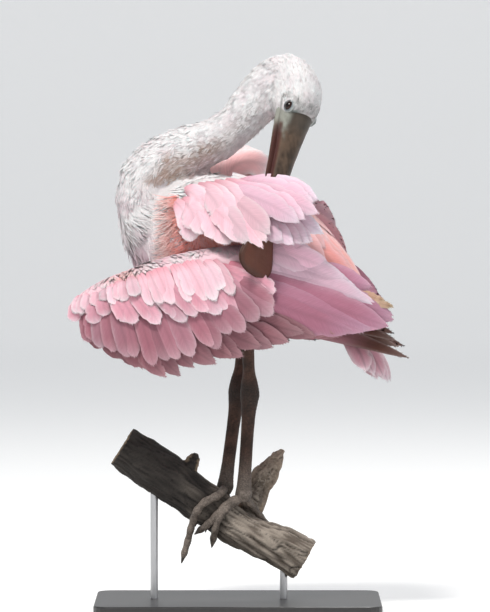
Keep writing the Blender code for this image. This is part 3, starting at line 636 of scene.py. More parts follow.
def vane_row(spec, surface, rng):
    """The closed, cambered vanes of one tract, with split edges: their values and their loose barbs'.

    A tract holds arrays: roots, tips, bow, outward, width, roll and colours (base, middle, tip and rim)."""
    rows, columns = VANE_ROWS, VANE_COLUMNS
    t = 1 - (1 - np.linspace(0, 1, rows)) ** 1.6
    u = np.linspace(-1, 1, columns)
    count = len(spec["roots"])
    roots, tips = spec["roots"], spec["tips"]
    middle = (roots + tips) / 2 + spec["bow"] * 2 + rng.normal(0, 1.0, (count, 3))
    s = t[None, :, None]
    centre = roots[:, None] * (1 - s) ** 2 + middle[:, None] * 2 * s * (1 - s) + tips[:, None] * s * s
    along = unit(2 * (1 - s) * (middle - roots)[:, None] + 2 * s * (tips - middle)[:, None])
    outward = spec["outward"][:, None]
    normal = unit(outward - along * (along * outward).sum(axis=-1, keepdims=True))
    across = np.cross(along, normal)
    roll = (spec["roll"] + rng.normal(0, 0.03, count))[:, None, None]
    turned = across * np.cos(roll) + normal * np.sin(roll)
    across, normal = turned, normal * np.cos(roll) - across * np.sin(roll)
    half = (outline(spec["form"], t)[None] * spec["width"][:, None] / 2)[..., None]
    edge = np.ones((count, rows, columns))
    for _ in range(spec.get("splits", 2)):
        at = rng.uniform(*SPLIT_PLACES, count)[:, None]
        depth = rng.uniform(*SPLIT_DEPTHS, count)[:, None] * bell(t[None], at, SPLIT_WIDTH)
        which = (rng.random(count) < 0.5)[:, None, None]
        outer = np.where(which, np.clip(u, 0, 1), np.clip(-u, 0, 1)) ** 2
        edge = edge - depth[..., None] * outer
    ripple = rng.uniform(0.0, EDGE_RIPPLE, (count, rows, 2))
    edge = edge - np.where(u > 0, ripple[..., :1], ripple[..., 1:]) * np.abs(u) ** 3
    offset = u[None, None, :] * half * edge
    drop = spec.get("camber", 0.1) * half * u**2
    swept = smooth(0.05, 0.4, t)[None, :, None] * (1 - smooth(0.8, 1.0, t))[None, :, None]
    sweep = half * np.abs(u) * EDGE_SWEEP * swept
    top = centre[:, :, None] + across[:, :, None] * offset[..., None]
    top = top - normal[:, :, None] * drop[..., None] + along[:, :, None] * sweep[..., None]
    ridge = SHAFT_HEIGHT * bell(u, 0, 0.12) * (1 - 0.7 * t[:, None])
    top = top + normal[:, :, None] * ridge[None, ..., None]
    thick = VANE_THICK * (1 - 0.6 * np.abs(u))[None, None, :, None]
    face = unit(np.cross(np.gradient(top, axis=1), np.gradient(top, axis=2)))
    face = face * np.sign((face * normal[:, :, None]).sum(axis=-1, keepdims=True))
    length = np.linalg.norm(tips - roots, axis=1)
    flat = np.stack(np.broadcast_arrays(offset, t[None, :, None] * length[:, None, None]), axis=-1)
    tint = vane_tint(spec, t, u, count, rng)
    barbs = edge_barbs(top, along, across, face, tint, rng)
    uv = surface.rooted(roots)
    barbs["uv"] = np.repeat(uv, LOOSE_BARBS, axis=0)
    patch = np.stack(np.broadcast_arrays(u[None, None, :] / 2, t[None, :, None] - 0.5), axis=-1) * PATCH
    patch = np.broadcast_to(patch, (count, rows, columns, 2)) + uv[:, None, None]
    # Each vane's lower face takes its colour at 0.93: painted shade under the vane
    values = {
        "points": two_faced(top, top - normal[:, :, None] * thick), "tint": two_faced(tint, tint * 0.93),
        "vane": two_faced(flat, flat), "bake": two_faced(patch, patch), "normals": two_faced(face, -face),
    }
    return values, barbs


def vane_faces(count):
    """Faces of closed vanes: the upper and the lower sheet, and the walls between their four edges."""
    rows, columns = VANE_ROWS, VANE_COLUMNS
    under = rows * columns

    def wall(a, b):
        return np.stack((a, b, b + under, a + under), axis=-1)

    sheet = grid_faces(rows, columns, False)
    left = np.arange(rows - 1) * columns
    right = left + columns - 1
    near = np.arange(columns - 1)
    far = near + (rows - 1) * columns
    walls = wall(left, left + columns), wall(right + columns, right), wall(near + 1, near), wall(far, far + 1)
    faces = np.concatenate((sheet, sheet[:, ::-1] + under, *walls))
    return (faces[None] + (np.arange(count) * 2 * under)[:, None, None]).reshape(-1, 4)


def edge_barbs(top, along, across, face, tint, rng):
    """Loose barbs at the outer edges of vanes: where they start, the way they point, and their colours."""
    count, rows, columns = top.shape[:3]
    total = count * LOOSE_BARBS
    feather = np.repeat(np.arange(count), LOOSE_BARBS)
    row = (rows * (1 - 0.8 * rng.random(total) ** 1.2)).astype(int).clip(1, rows - 1)
    right = rng.random(total) < 0.5
    column = np.where(right, columns - 1, 0)
    inner = np.where(right, columns - 2, 1)
    inset = rng.uniform(0.2, 1.0, total)[:, None]
    spread = np.where(right, 1, -1)[:, None] * rng.uniform(0.05, 0.35, (total, 1))
    way = unit(along[feather, row] + across[feather, row] * spread)
    root = top[feather, row, column] * (1 - inset) + top[feather, row, inner] * inset - way * 2.2
    return {"roots": root, "lie": way, "out": face[feather, row, column], "tint": tint[feather, row, column]}


def vane_tint(spec, t, u, count, rng):
    """Colour over each vane: from base to middle to tip, a paler rim, a darker shaft, and its own shade."""
    base, middle, tip, rim = (np.asarray(c, float).reshape(-1, 1, 1, 3) for c in spec["colours"])
    along = t[None, :, None, None]
    colour = base * (1 - smooth(0.0, 0.35, along)) + middle * smooth(0.0, 0.35, along)
    colour = colour * (1 - smooth(0.72, 1.0, along)) + tip * smooth(0.72, 1.0, along)
    if "dark" in spec:
        reach, amount = spec["dark"]
        hidden = smooth(reach, reach + 0.2, along) * amount
        colour = colour * (1 - hidden) + np.asarray(QUILL_BROWN) * hidden
    edge = (smooth(0.6, 1.0, np.abs(u))[None, None, :, None] * 0.75 + smooth(0.9, 1.0, along) * 0.6)
    edge = np.clip(edge, 0, 1) * smooth(0.1, 0.5, along) * spec.get("rim", 0.7)
    colour = colour * (1 - edge) + rim * edge
    shaft = bell(u, 0, 0.1)[None, None, :, None] * spec.get("shaft", 0.2) * (1 - 0.5 * along)
    colour = colour * (1 - shaft)
    own = 1 + rng.normal(0, 0.07, (count, 1, 1, 1))
    warm = rng.normal(0, 0.03, (count, 1, 1, 1)) * np.array((-0.5, 1.0, 0.8))
    return np.clip(np.broadcast_to(colour * own * (1 + warm), (count, len(t), len(u), 3)), 0, 1)


def tract(roots, tips, count, side, bow, width, roll, colours, seed=5, ragged=3.0, outward=(0, 1, 0), **more):
    """A row of feathers whose roots and tips run along two curves, which LEFT mirrors."""
    rng = np.random.default_rng(seed)
    t = np.clip((np.arange(count) + rng.uniform(-0.15, 0.15, count)) / max(count - 1, 1), 0, 1)
    flip = np.array((1, side, 1))
    made = {
        "roots": sample(roots, t) * flip + rng.normal(0, 0.5, (count, 3)),
        "tips": sample(tips, t) * flip + rng.normal(0, ragged, (count, 3)) * (1, 0.4, 1),
        "bow": np.broadcast_to(np.asarray(bow, float) * flip, (count, 3)),
        "outward": np.broadcast_to(np.asarray(outward, float) * flip, (count, 3)),
        "width": np.interp(t, (0, 1), width) * rng.uniform(0.88, 1.12, count),
        "roll": np.full(count, -math.radians(roll) * side),
        "colours": colours,
        "form": POINTED,
    }
    made.update(more)
    return made


def feathers(name, tracts, surface, slot, material, replaces=()):
    """A piece of large feathers, and a piece of the loose barbs at their edges."""
    rng = np.random.default_rng(3)
    rows = [vane_row(spec, surface, rng) for spec in tracts]
    values, barbs = (
        {key: np.concatenate([part[key] for part in parts]) for key in parts[0]} for parts in zip(*rows)
    )
    points = values.pop("points")
    faces = vane_faces(len(points) // (2 * VANE_ROWS * VANE_COLUMNS))
    piece(name, points, faces, material, slot, replaces, **values)
    scattered = barbs["roots"], barbs["out"], barbs["uv"]
    # The loose barbs' tips are painted 4% lighter than their roots: painted light
    coat(
        f"{name}_barbs", scattered, barbs["lie"], (barbs["tint"], barbs["tint"] * 1.04), slot, material,
        length=4.4, width=0.5, lift=0.01, jitter=0.07, thick=0.1, sink=-0.05, seed=9,
    )


# The body's axis, along which the feathers lie


def flow():
    """Places on the axis from the bill's root over the head, down the neck and along the torso."""
    head = [(*head_point(height, shift), half, deep) for height, shift, half, deep in HEAD]
    lines = []
    for rows, steps in ((head, 30), (NECK[::-1], 90), (TORSO[::-1], 60)):
        lines.append(sample(rows, np.linspace(0, 1, steps)))
    places = np.concatenate(lines)
    ways = np.concatenate([np.gradient(line[:, :3], axis=0) for line in lines])
    part = np.concatenate([np.full(len(line), i) for i, line in enumerate(lines)])
    ways = unit(ways)
    span = np.arange(len(ways))
    ways = sum(ways[np.clip(span + k, 0, len(ways) - 1)] for k in range(-9, 10))
    return places[:, :3], unit(ways), (places[:, 3] + places[:, 4]) / 2, part


FLOW_PLACES, FLOW_WAYS, FLOW_RADII, FLOW_PARTS = flow()
HEAD_PART, NECK_PART, TORSO_PART = range(3)


def axis_near(points):
    """For each point, the index of the place on the axis that it belongs to."""
    nearest = np.empty(len(points), int)
    for start in range(0, len(points), CHUNK):
        chunk = points[start:start + CHUNK]
        distance = np.linalg.norm(chunk[:, None] - FLOW_PLACES[None], axis=2) - FLOW_RADII[None]
        nearest[start:start + CHUNK] = distance.argmin(axis=1)
    return nearest


def body_lie(points, normals):
    """The way that the body's feathers point: along the axis, and a little down."""
    index = axis_near(points)
    way = FLOW_WAYS[index] + DOWN * np.where(FLOW_PARTS[index] == TORSO_PART, 0.45, 0.05)[:, None]
    hip = np.abs(points[:, 1]) + (points[:, 2] - 300) * 0.2 < 60
    leg = (points[:, 2] < 296) & (np.abs(points[:, 0] - 8) < 32) & hip
    way = np.where(leg[:, None], DOWN + 0.001, way)
    way = way + clouds(points, 9, 25) * 0.28
    return unit(way - normals * (way * normals).sum(axis=1)[:, None])


def body_colours(points, normals):
    """The markings of head, neck, breast, back and belly, and painted shade. Skin and feathers both read
    them.
    """
    index = axis_near(points)
    part = FLOW_PARTS[index]
    x, _, z = points.T
    below = (FLOW_PLACES[index, 2] - z) / FLOW_RADII[index]
    near = smooth(-0.3, 0.5, -normals[:, 1])
    cloud = noise(points, 22, 21)
    grain = noise(points, 5, 22)
    fine = noise(points, 2.6, 23)
    strands = smooth(0.4, 0.9, noise(points * (1, 1, 0.35), 6, 24))
    colour = blend(WHITE, SOFT_WHITE, np.clip(0.3 + 0.35 * cloud + 0.3 * grain, 0, 1))
    neck = (part == NECK_PART).astype(float)
    # Beige under the lower neck: a stain on the feathers, with painted shade of the neck's underside in it
    under = smooth(-0.25, 0.5, below + 0.12 * cloud) * neck * smooth(-112, -84, x)
    dirt_and_shade = under * smooth(16, -40, x) * (0.8 + 0.4 * grain)
    colour = blend(colour, BEIGE, np.clip(dirt_and_shade, 0, 1) * 0.9)
    # Lavender on the underside of the lower neck is painted shade
    under_neck_shade = smooth(0.25, 0.8, below) * neck * smooth(-62, -34, x) * smooth(26, 2, x)
    colour = blend(colour, LAVENDER, under_neck_shade * 0.5)
    # Lavender on the lower front of the neck, deeper downwards and with mauve along the strands, is painted
    # shade
    bib_shade = neck * smooth(-84, -100, x) * smooth(446, 404, z) * near
    colour = blend(colour, LAVENDER, np.clip(bib_shade * (0.75 + 0.25 * cloud), 0, 1))
    colour = blend(colour, MAUVE, bib_shade * strands * 0.4)
    furrow = bell(below, 0.18, 0.24) * neck * smooth(-92, -48, x) * smooth(40, 16, x)
    flecks = furrow * smooth(0.0, 0.7, grain + 0.7 * fine + 0.35 * cloud)
    colour = blend(colour, FLECK, np.clip(flecks, 0, 1) * 0.5)
    head = (part == HEAD_PART).astype(float)
    # Dark specks on the head and, fewer, on the neck are painted shadow in small gaps among the feathers
    speck_shadow = smooth(0.95, 1.4, fine + 0.5 * grain) * (head * 0.5 + neck * 0.2)
    colour = blend(colour, FLECK, speck_shadow * 0.6)
    torso = (part == TORSO_PART).astype(float)
    # The breast's front is painted lavender, with mauve low by the flank and mauve streaks along the strands:
    # painted shade on the breast, deepest in the hollow by the flank
    breast_shade = torso * smooth(-50, -72, x) * smooth(428, 404, z)
    colour = blend(colour, LAVENDER, np.clip(breast_shade * (0.7 + 0.25 * cloud) * smooth(418, 380, z), 0, 1))
    colour = blend(colour, MAUVE, np.clip(breast_shade * smooth(-104, -78, x) * smooth(402, 372, z) * 0.55, 0, 1))
    strand_shade = breast_shade * strands * smooth(404, 360, z)
    colour = blend(colour, MAUVE, strand_shade * 0.7)
    rear = torso * smooth(-72, -54, x + 0.2 * (z - 400)) * (1 - smooth(400, 412, z) * smooth(0, -26, x))
    back = rear * smooth(0.15, 0.75, normals[:, 2])
    colour = blend(colour, BLUSH, rear * 0.9)
    colour = blend(colour, SALMON, rear * smooth(-20, 60, x) * back * 0.8)
    flank = rear * (1 - back) * smooth(430, 416, z)
    colour = blend(colour, SALMON, flank * near * (0.75 + 0.2 * grain))
    colour = blend(colour, ROSE, flank * (1 - near) * 0.6)
    colour = blend(colour, BLUSH, smooth(318, 296, z) * torso * 0.8)
    return np.clip(colour, 0, 1)


def bare_face(points):
    """1 where the face is bare skin, 0 where feathers grow."""
    height, shift, sideways = head_places(points)
    around = np.hypot((height - EYE_PLACE[0]) / 8.6, (shift - EYE_PLACE[1]) / 8.2)
    ring = smooth(1.15, 0.9, around + 0.45 * (sideways > 0)) * smooth(10, 13, np.abs(sideways))
    edge = FEATHER_LINE + 1.2 * noise(points, 5, 31) + 3.0 * smooth(6, 13, shift) * smooth(22, 16, shift)
    lores = smooth(2.0, 0.0, height - edge) * (height > -9) * (np.hypot(shift, sideways) < 28)
    return np.maximum(ring * (np.abs(height) < 30), lores)


def face_colours(points, colours):
    """Bare skin round the eye, and the dark edges of the feathers by it."""
    height, shift, sideways = head_places(points)
    face = bare_face(points)
    skin = blend(FACE, (0.40, 0.47, 0.47), np.clip(0.5 + 0.5 * noise(points, 4, 32), 0, 1))
    dark = np.maximum(smooth(8, 13, shift) * smooth(12, 6, height), smooth(2, 9, sideways))
    chin = smooth(-4, -8, shift) * smooth(-15, -11, shift) * smooth(18, 12, height)
    skin = blend(skin, FACE_DARK, np.clip(dark * 0.85 + chin * 0.5, 0, 1))
    colours = blend(colours, skin, face)
    rim = bell(np.hypot(height - EYE_PLACE[0], shift - EYE_PLACE[1]), 10.0, 1.6)
    rim = rim * smooth(10, 13, np.abs(sideways)) * (1 - face)
    band = smooth(8, 14, shift) * smooth(24, 12, height) * (0.75 + 0.35 * noise(points, 3, 33))
    fringe = np.exp(-(((shift + 15) / 5.0) ** 2) - ((height - 8) / 8) ** 2)
    fringe = fringe * (0.6 + 0.5 * noise(points, 2.5, 34))
    colours = blend(colours, FACE_DARK, np.clip(band * 0.65 + fringe * 0.75, 0, 1) * (1 - face))
    return blend(colours, FACE_DARK, rim * (0.3 + 0.45 * smooth(2, -4, shift - EYE_PLACE[1])))


def make_skin(material):
    """One skin under the coat of head, neck, torso and thighs."""
    names = ("head", "neck_upper", "neck_middle", "neck_base", "torso", "thigh_left", "thigh_right")
    parts = []
    for name in names:
        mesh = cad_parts[name].data
        parts.append((read(mesh.vertices, "co", 3) / MM, [tuple(p.vertices) for p in mesh.polygons]))
    surface = Surface(solid_mesh(parts, SKIN_VOXEL, swell=SKIN_SWELL), COAT_DEPTH + SKIN_SWELL)
    # The skin takes the markings at 0.82 of their brightness: painted shade under the coat
    tint = face_colours(surface.points, body_colours(surface.points, surface.normals) * 0.82)
    dressed_surface("skin", surface, tint, material, names)
    return surface


def dressed_surface(name, surface, tint, material, replaces=()):
    """The piece that shows a surface, on its own mesh and unwrap."""
    surface.mesh.vertices.foreach_set("co", (surface.points * MM).ravel())
    show(name, surface.mesh, material, replaces, tint)


# Tufts of each stretch of the body: part of the axis, from and to which x, spacing, length, width, lift
# and rings
BODY_TUFTS = {
    "head": (HEAD_PART, -200, 200, 0.95, 5.2, 0.95, 0.2, 2),
    "neck_upper": (NECK_PART, -42, 200, 1.15, 6.4, 1.1, 0.16, 2),
    "neck_lower": (NECK_PART, -200, -42, 1.5, 9.5, 1.5, 0.12, 2),
    "breast": (TORSO_PART, -200, -52, 1.8, 20.0, 1.8, 0.08, 3),
    "body": (TORSO_PART, -52, 200, 2.8, 15.0, 2.9, 0.12, 3),
}


def make_body_coat(skin, material):
    """Short tufts on the head, longer ones down the neck, and soft feathers on the body."""
    for seed, (name, row) in enumerate(BODY_TUFTS.items()):
        part, low, high, spacing, length, width, lift, rings = row

        def keep(points, normals):
            inside = (FLOW_PARTS[axis_near(points)] == part) & (points[:, 0] > low) & (points[:, 0] <= high)
            return inside & (bare_face(points) < 0.5)

        scattered = skin.scatter(spacing, 41 + seed, keep)
        places, normals, _ = scattered
        size = np.ones(len(places))
        if name == "head":
            size = 0.45 + 0.55 * smooth(4, 24, head_places(places)[0])
        if name == "body":
            size = 1 - 0.5 * smooth(300, 285, places[:, 2])
        colour = face_colours(places, body_colours(places, normals))
        own = np.random.default_rng(51 + seed).normal(1.0, 0.045, (len(places), 1))
        # Each tuft's root is painted 5% darker and its tip 4% lighter: painted shade at the roots, painted
        # light at the tips
        shaded_roots_lit_tips = (np.clip(colour * own * 0.95, 0, 1), np.clip(colour * own * 1.04, 0, 1))
        raised = lift * (1 + 0.6 * noise(places, 8, 57))
        coat(
            f"coat_{name}", scattered, body_lie(places, normals), shaded_roots_lit_tips, "white_plumage", material,
            length=length * size, width=width * size, rings=rings, lift=raised, curl=-0.1, jitter=0.14,
            thick=0.22 * width, seed=61 + seed,
        )


def make_flank(skin, material):
    """Hair-like salmon filaments on the near flank, with pale tips that curl up by the breast."""

    def keep(points, normals):
        x, y, z = points.T
        return (y < -8) & (x > -70) & (x < 30) & (z > 340) & (z < 436) & (normals[:, 1] < -0.2)

    scattered = skin.scatter(1.8, 151, keep)
    places, normals, _ = scattered
    back = smooth(-66, -22, places[:, 0])
    way = np.stack((-1 + 1.7 * back, np.zeros(len(back)), -0.35 - 0.4 * back), axis=-1)
    way = way + clouds(places, 12, 152) * 0.3
    root = blend((0.86, 0.24, 0.20), (0.90, 0.40, 0.36), np.clip(0.5 + 0.5 * noise(places, 9, 155), 0, 1))
    low = smooth(385, 365, places[:, 2]) * back
    tip = blend(blend((0.94, 0.90, 0.88), (0.90, 0.42, 0.38), smooth(0.0, 0.25, back)), BLUSH, low)
    coat(
        "flank_filaments", scattered, way, (root, tip), "salmon_plumage", material,
        fade=2.6, length=22.0 - 4 * back, width=0.75, rings=5, lift=0.14, curl=0.24 * (1 - back), jitter=0.14,
        thick=0.3, seed=156,
    )


# Wings, scapulars, back and tail

# The next three pinks are the wing's own deeper pink with painted shade of its lower half in them
LONG_PINK_AND_SHADE = ((0.36, 0.11, 0.15), (0.42, 0.17, 0.24), (0.48, 0.24, 0.33), (0.58, 0.36, 0.44))
LOWER_PINK_AND_SHADE = ((0.20, 0.06, 0.07), (0.25, 0.10, 0.12), (0.32, 0.16, 0.18), (0.42, 0.25, 0.27))
DUSKY_PINK_AND_SHADE = ((0.30, 0.10, 0.13), (0.36, 0.15, 0.19), (0.46, 0.25, 0.29), (0.60, 0.42, 0.46))
COVERT_PINK = ((0.56, 0.20, 0.26), (0.66, 0.32, 0.39), (0.77, 0.50, 0.57), (0.88, 0.72, 0.76))
PALE_PINK = ((0.76, 0.36, 0.42), (0.82, 0.51, 0.58), (0.86, 0.64, 0.69), (0.88, 0.78, 0.80))
LAVENDER_PINK = ((0.72, 0.37, 0.46), (0.74, 0.47, 0.57), (0.75, 0.57, 0.66), (0.82, 0.71, 0.77))
SALMON_PINK = (SALMON, (0.84, 0.38, 0.35), (0.84, 0.48, 0.48), (0.86, 0.64, 0.67))
MANTLE_PINK = (SOFT_WHITE, (0.86, 0.50, 0.48), (0.84, 0.48, 0.48), (0.86, 0.64, 0.67))
TAIL_PINK = ((0.50, 0.19, 0.23), (0.60, 0.31, 0.37), (0.72, 0.48, 0.54), (0.85, 0.78, 0.80))
RAISED_PINK = ((0.86, 0.60, 0.60), (0.88, 0.52, 0.52), (0.88, 0.68, 0.70), (0.92, 0.90, 0.90))
DARK_TIPS = (ROSE, (0.42, 0.19, 0.23), (0.08, 0.03, 0.02), (0.40, 0.32, 0.30))
WORN = ((0.66, 0.45, 0.42), (0.50, 0.34, 0.24), (0.26, 0.16, 0.09), (0.62, 0.50, 0.36))


def left_wing_tracts():
    return [
        tract(
            ((-128, 74, 308), (-92, 74, 316)),
            ((176, 27, 264), (168, 29, 276), (152, 33, 290), (128, 38, 298)),
            7, LEFT, (0, 9, 20), (20, 20), 12, DARK_TIPS, dark=(0.7, 0.95), rim=0.4, seed=61,
        ),
        tract(
            ((-160, 80, 314), (-116, 80, 322), (-66, 77, 332), (-26, 72, 340)),
            ((-132, 79, 276), (-100, 83, 260), (-66, 86, 250), (-30, 86, 260), (6, 84, 273), (44, 80, 281),
             (80, 72, 291), (108, 60, 288)),
            17, LEFT, (0, 5, -5), (22, 26), 9, LOWER_PINK_AND_SHADE, shaft=0.35, rim=0.5, seed=62,
            outward=(0, 1, -0.4),
        ),
        tract(
            ((-24, 70, 346), (-6, 66, 358), (10, 62, 368)),
            ((120, 58, 290), (144, 50, 295), (160, 40, 300), (152, 38, 316), (130, 38, 340)),
            10, LEFT, (0, 12, 0), (36, 34), 7, LONG_PINK_AND_SHADE, seed=63, camber=0.16,
        ),
        tract(
            ((-14, 62, 368), (6, 60, 378), (22, 54, 384)), ((148, 42, 318), (122, 48, 340), (84, 54, 366)),
            8, LEFT, (0, 12, 4), (30, 28), 7, LAVENDER_PINK, seed=67, camber=0.18,
        ),
        tract(
            ((124, 44, 334), (128, 42, 322)), ((149, 43, 330), (156, 40, 316)),
            6, LEFT, (0, 2, 1), (9, 9), 6, WORN, seed=68, splits=6,
        ),
        tract(
            ((-162, 82, 318), (-118, 87, 330), (-66, 86, 342), (-16, 82, 352)),
            ((-160, 86, 286), (-126, 92, 273), (-82, 95, 262), (-40, 95, 275), (4, 93, 294), (38, 88, 320)),
            17, LEFT, (0, 4, 3), (18, 22), 10, DUSKY_PINK_AND_SHADE, form=ROUNDED, rim=0.5, seed=64, camber=0.2,
            outward=(0, 1, -0.3),
        ),
        tract(
            ((-164, 80, 325), (-122, 88, 340), (-66, 88, 354), (-10, 82, 364)),
            ((-166, 86, 304), (-128, 95, 306), (-82, 99, 304), (-36, 99, 312), (2, 93, 316), (34, 80, 334)),
            18, LEFT, (0, 4, 3), (17, 19), 10, COVERT_PINK, form=ROUNDED, seed=65, camber=0.2,
        ),
        tract(
            ((-164, 80, 329), (-122, 86, 348), (-66, 86, 364), (-26, 80, 370)),
            ((-168, 88, 314), (-130, 96, 324), (-82, 100, 326), (-36, 99, 332), (-8, 96, 336)),
            21, LEFT, (0, 3, 3), (14, 16), 10, PALE_PINK, form=ROUNDED, seed=66, camber=0.2,
        ),
    ]


def right_wing_tracts():
    return [
        tract(
            ((-84, 62, 360), (-56, 62, 364)), ((172, 16, 272), (162, 20, 286), (142, 25, 298)),
            6, RIGHT, (0, 18, 2), (20, 20), 12, DARK_TIPS, dark=(0.7, 0.95), rim=0.4, seed=71,
        ),
        tract(
            ((-98, 64, 366), (-60, 70, 370), (-10, 70, 378)),
            ((-36, 74, 292), (14, 78, 278), (62, 70, 280), (104, 54, 290)),
            14, RIGHT, (0, 8, -8), (24, 27), 9, LOWER_PINK_AND_SHADE, shaft=0.35, seed=72,
        ),
        tract(
            ((-10, 70, 384), (6, 66, 392), (16, 60, 398)),
            ((116, 48, 296), (142, 38, 302), (154, 30, 312), (142, 30, 334), (112, 34, 356)),
            8, RIGHT, (0, 12, 4), (36, 32), 7, LONG_PINK_AND_SHADE, seed=73, camber=0.16,
        ),
        tract(
            ((-106, 66, 372), (-60, 77, 380), (0, 76, 392)),
            ((-84, 80, 318), (-36, 88, 302), (14, 88, 308), (52, 80, 330)),
            14, RIGHT, (0, 5, 3), (20, 24), 10, DUSKY_PINK_AND_SHADE, form=ROUNDED, seed=74, camber=0.2,
            outward=(0, 1, -0.3),
        ),
        tract(
            ((-110, 60, 384), (-60, 76, 396), (4, 74, 408)),
            ((-100, 76, 350), (-50, 90, 340), (4, 92, 346), (44, 84, 362)),
            14, RIGHT, (0, 5, 3), (19, 22), 10, COVERT_PINK, form=ROUNDED, seed=75, camber=0.2,
        ),
        tract(
            ((-110, 54, 392), (-60, 72, 404), (4, 70, 418)),
            ((-108, 74, 368), (-54, 88, 366), (4, 90, 372), (40, 80, 388)),
            15, RIGHT, (0, 4, 3), (16, 18), 10, PALE_PINK, form=ROUNDED, seed=76, camber=0.2,
        ),
    ]


def scapular_tracts_left():
    return [
        tract(
            ((-24, 38, 441), (-14, 36, 443), (-4, 32, 445)), ((62, 97, 410), (76, 92, 418), (84, 82, 430)),
            5, LEFT, (0, 16, 7), (27, 29), 6, LAVENDER_PINK, seed=81, splits=5, camber=0.24,
        ),
        tract(
            ((-14, 44, 424), (-4, 42, 428), (6, 38, 430)), ((50, 92, 384), (68, 86, 386), (86, 74, 394)),
            6, LEFT, (0, 12, 5), (26, 26), 7, LAVENDER_PINK, seed=79, splits=5, camber=0.24,
        ),
        tract(
            ((-44, 44, 434), (-34, 42, 438), (-22, 40, 441)),
            ((4, 98, 388), (20, 101, 384), (36, 101, 392)),
            6, LEFT, (0, 15, 5), (24, 26), 8, PALE_PINK, seed=80, splits=5, camber=0.24,
        ),
        tract(
            ((-66, 44, 428), (-50, 46, 430), (-34, 46, 434)),
            ((-52, 74, 394), (-30, 82, 392), (4, 92, 386)),
            6, LEFT, (2, 10, 6), (24, 26), 8, PALE_PINK, form=ROUNDED, seed=82, splits=5, camber=0.2,
        ),
        tract(
            ((-56, 36, 438), (-40, 36, 444), (-14, 32, 448)),
            ((-40, 66, 420), (-12, 84, 414), (24, 84, 420)),
            6, LEFT, (2, 8, 6), (24, 26), 8, PALE_PINK, form=ROUNDED, seed=83, splits=5, camber=0.2,
        ),
    ]


def scapular_tracts_right():
    return [
        tract(
            ((-30, 40, 440), (-14, 36, 444), (4, 30, 444), (14, 24, 440)),
            ((48, 84, 394), (80, 72, 410), (99, 58, 405), (116, 42, 370)),
            7, RIGHT, (0, 12, 8), (32, 32), 6, PALE_PINK, seed=84, splits=5, camber=0.2,
        ),
        tract(
            ((-70, 42, 430), (-46, 44, 434), (-22, 42, 438)),
            ((-56, 80, 392), (-12, 88, 384), (26, 86, 386)),
            7, RIGHT, (2, 10, 6), (26, 28), 8, PALE_PINK, form=ROUNDED, seed=85, splits=5, camber=0.2,
        ),
        tract(
            ((-62, 34, 440), (-36, 34, 446), (-8, 30, 448)),
            ((-50, 68, 420), (-10, 82, 416), (28, 80, 420)),
            7, RIGHT, (2, 8, 6), (24, 26), 8, PALE_PINK, form=ROUNDED, seed=86, splits=5, camber=0.2,
        ),
        tract(
            ((-38, 26, 444), (-24, 24, 444), (-10, 22, 444)), ((14, 48, 474), (30, 44, 464), (36, 38, 452)),
            7, RIGHT, (-6, 0, 15), (34, 34), 12, RAISED_PINK, form=ROUNDED, seed=87, outward=(0, -0.7, 0.7),
            rim=1.0,
        ),
    ]


def tail_tracts():
    return [
        tract(
            ((104, -14, 296), (108, 0, 300), (104, 14, 296)),
            ((134, -36, 250), (156, -14, 242), (158, 12, 243), (138, 34, 252)),
            12, RIGHT, (3, 0, 3), (24, 24), 9, TAIL_PINK, outward=(0.45, -0.6, 0.7), shaft=0.5, seed=91,
            ragged=1.2,
        ),
        tract(
            ((96, -18, 318), (98, 0, 320), (96, 18, 318)), ((138, -22, 292), (142, 0, 298), (138, 22, 292)),
            7, RIGHT, (3, 0, 5), (22, 22), 5, SALMON_PINK, outward=(0.5, 0, 1), form=ROUNDED, seed=92,
        ),
    ]


def on_torso(share, angle, lift):
    """Points over the torso's surface, at angles in degrees from its ridge towards the right."""
    here = sample(TORSO, share)
    ahead = unit(sample(TORSO, share - 0.01)[:3] - sample(TORSO, share + 0.01)[:3])
    ridge = np.array((-ahead[2], 0, ahead[0]))
    turn = np.radians(np.asarray(angle, float))[:, None]
    sideways = np.array((0, 1, 0)) * (here[3] + lift) * np.sin(turn)
    return here[:3] + sideways + ridge * (here[4] + lift) * np.cos(turn)


def back_tracts():
    made = []
    rows = (((0.47, 1.5), (0.17, 12.0), 15, SALMON_PINK), ((0.6, 2.0), (0.33, 10.0), 13, MANTLE_PINK))
    for i, (root, tip, count, colours) in enumerate(rows):
        angles = (-46, -15, 15, 46)
        turn = np.radians(np.linspace(-64, 64, count))
        outward = np.stack((np.full(count, 0.4), np.sin(turn), np.cos(turn)), axis=-1)
        made.append(tract(
            on_torso(root[0], angles, root[1]), on_torso(tip[0], angles, tip[1]), count, RIGHT,
            (5, 0, 8), (28, 28), 7, colours, outward=outward, seed=95 + i,
        ))
    return made


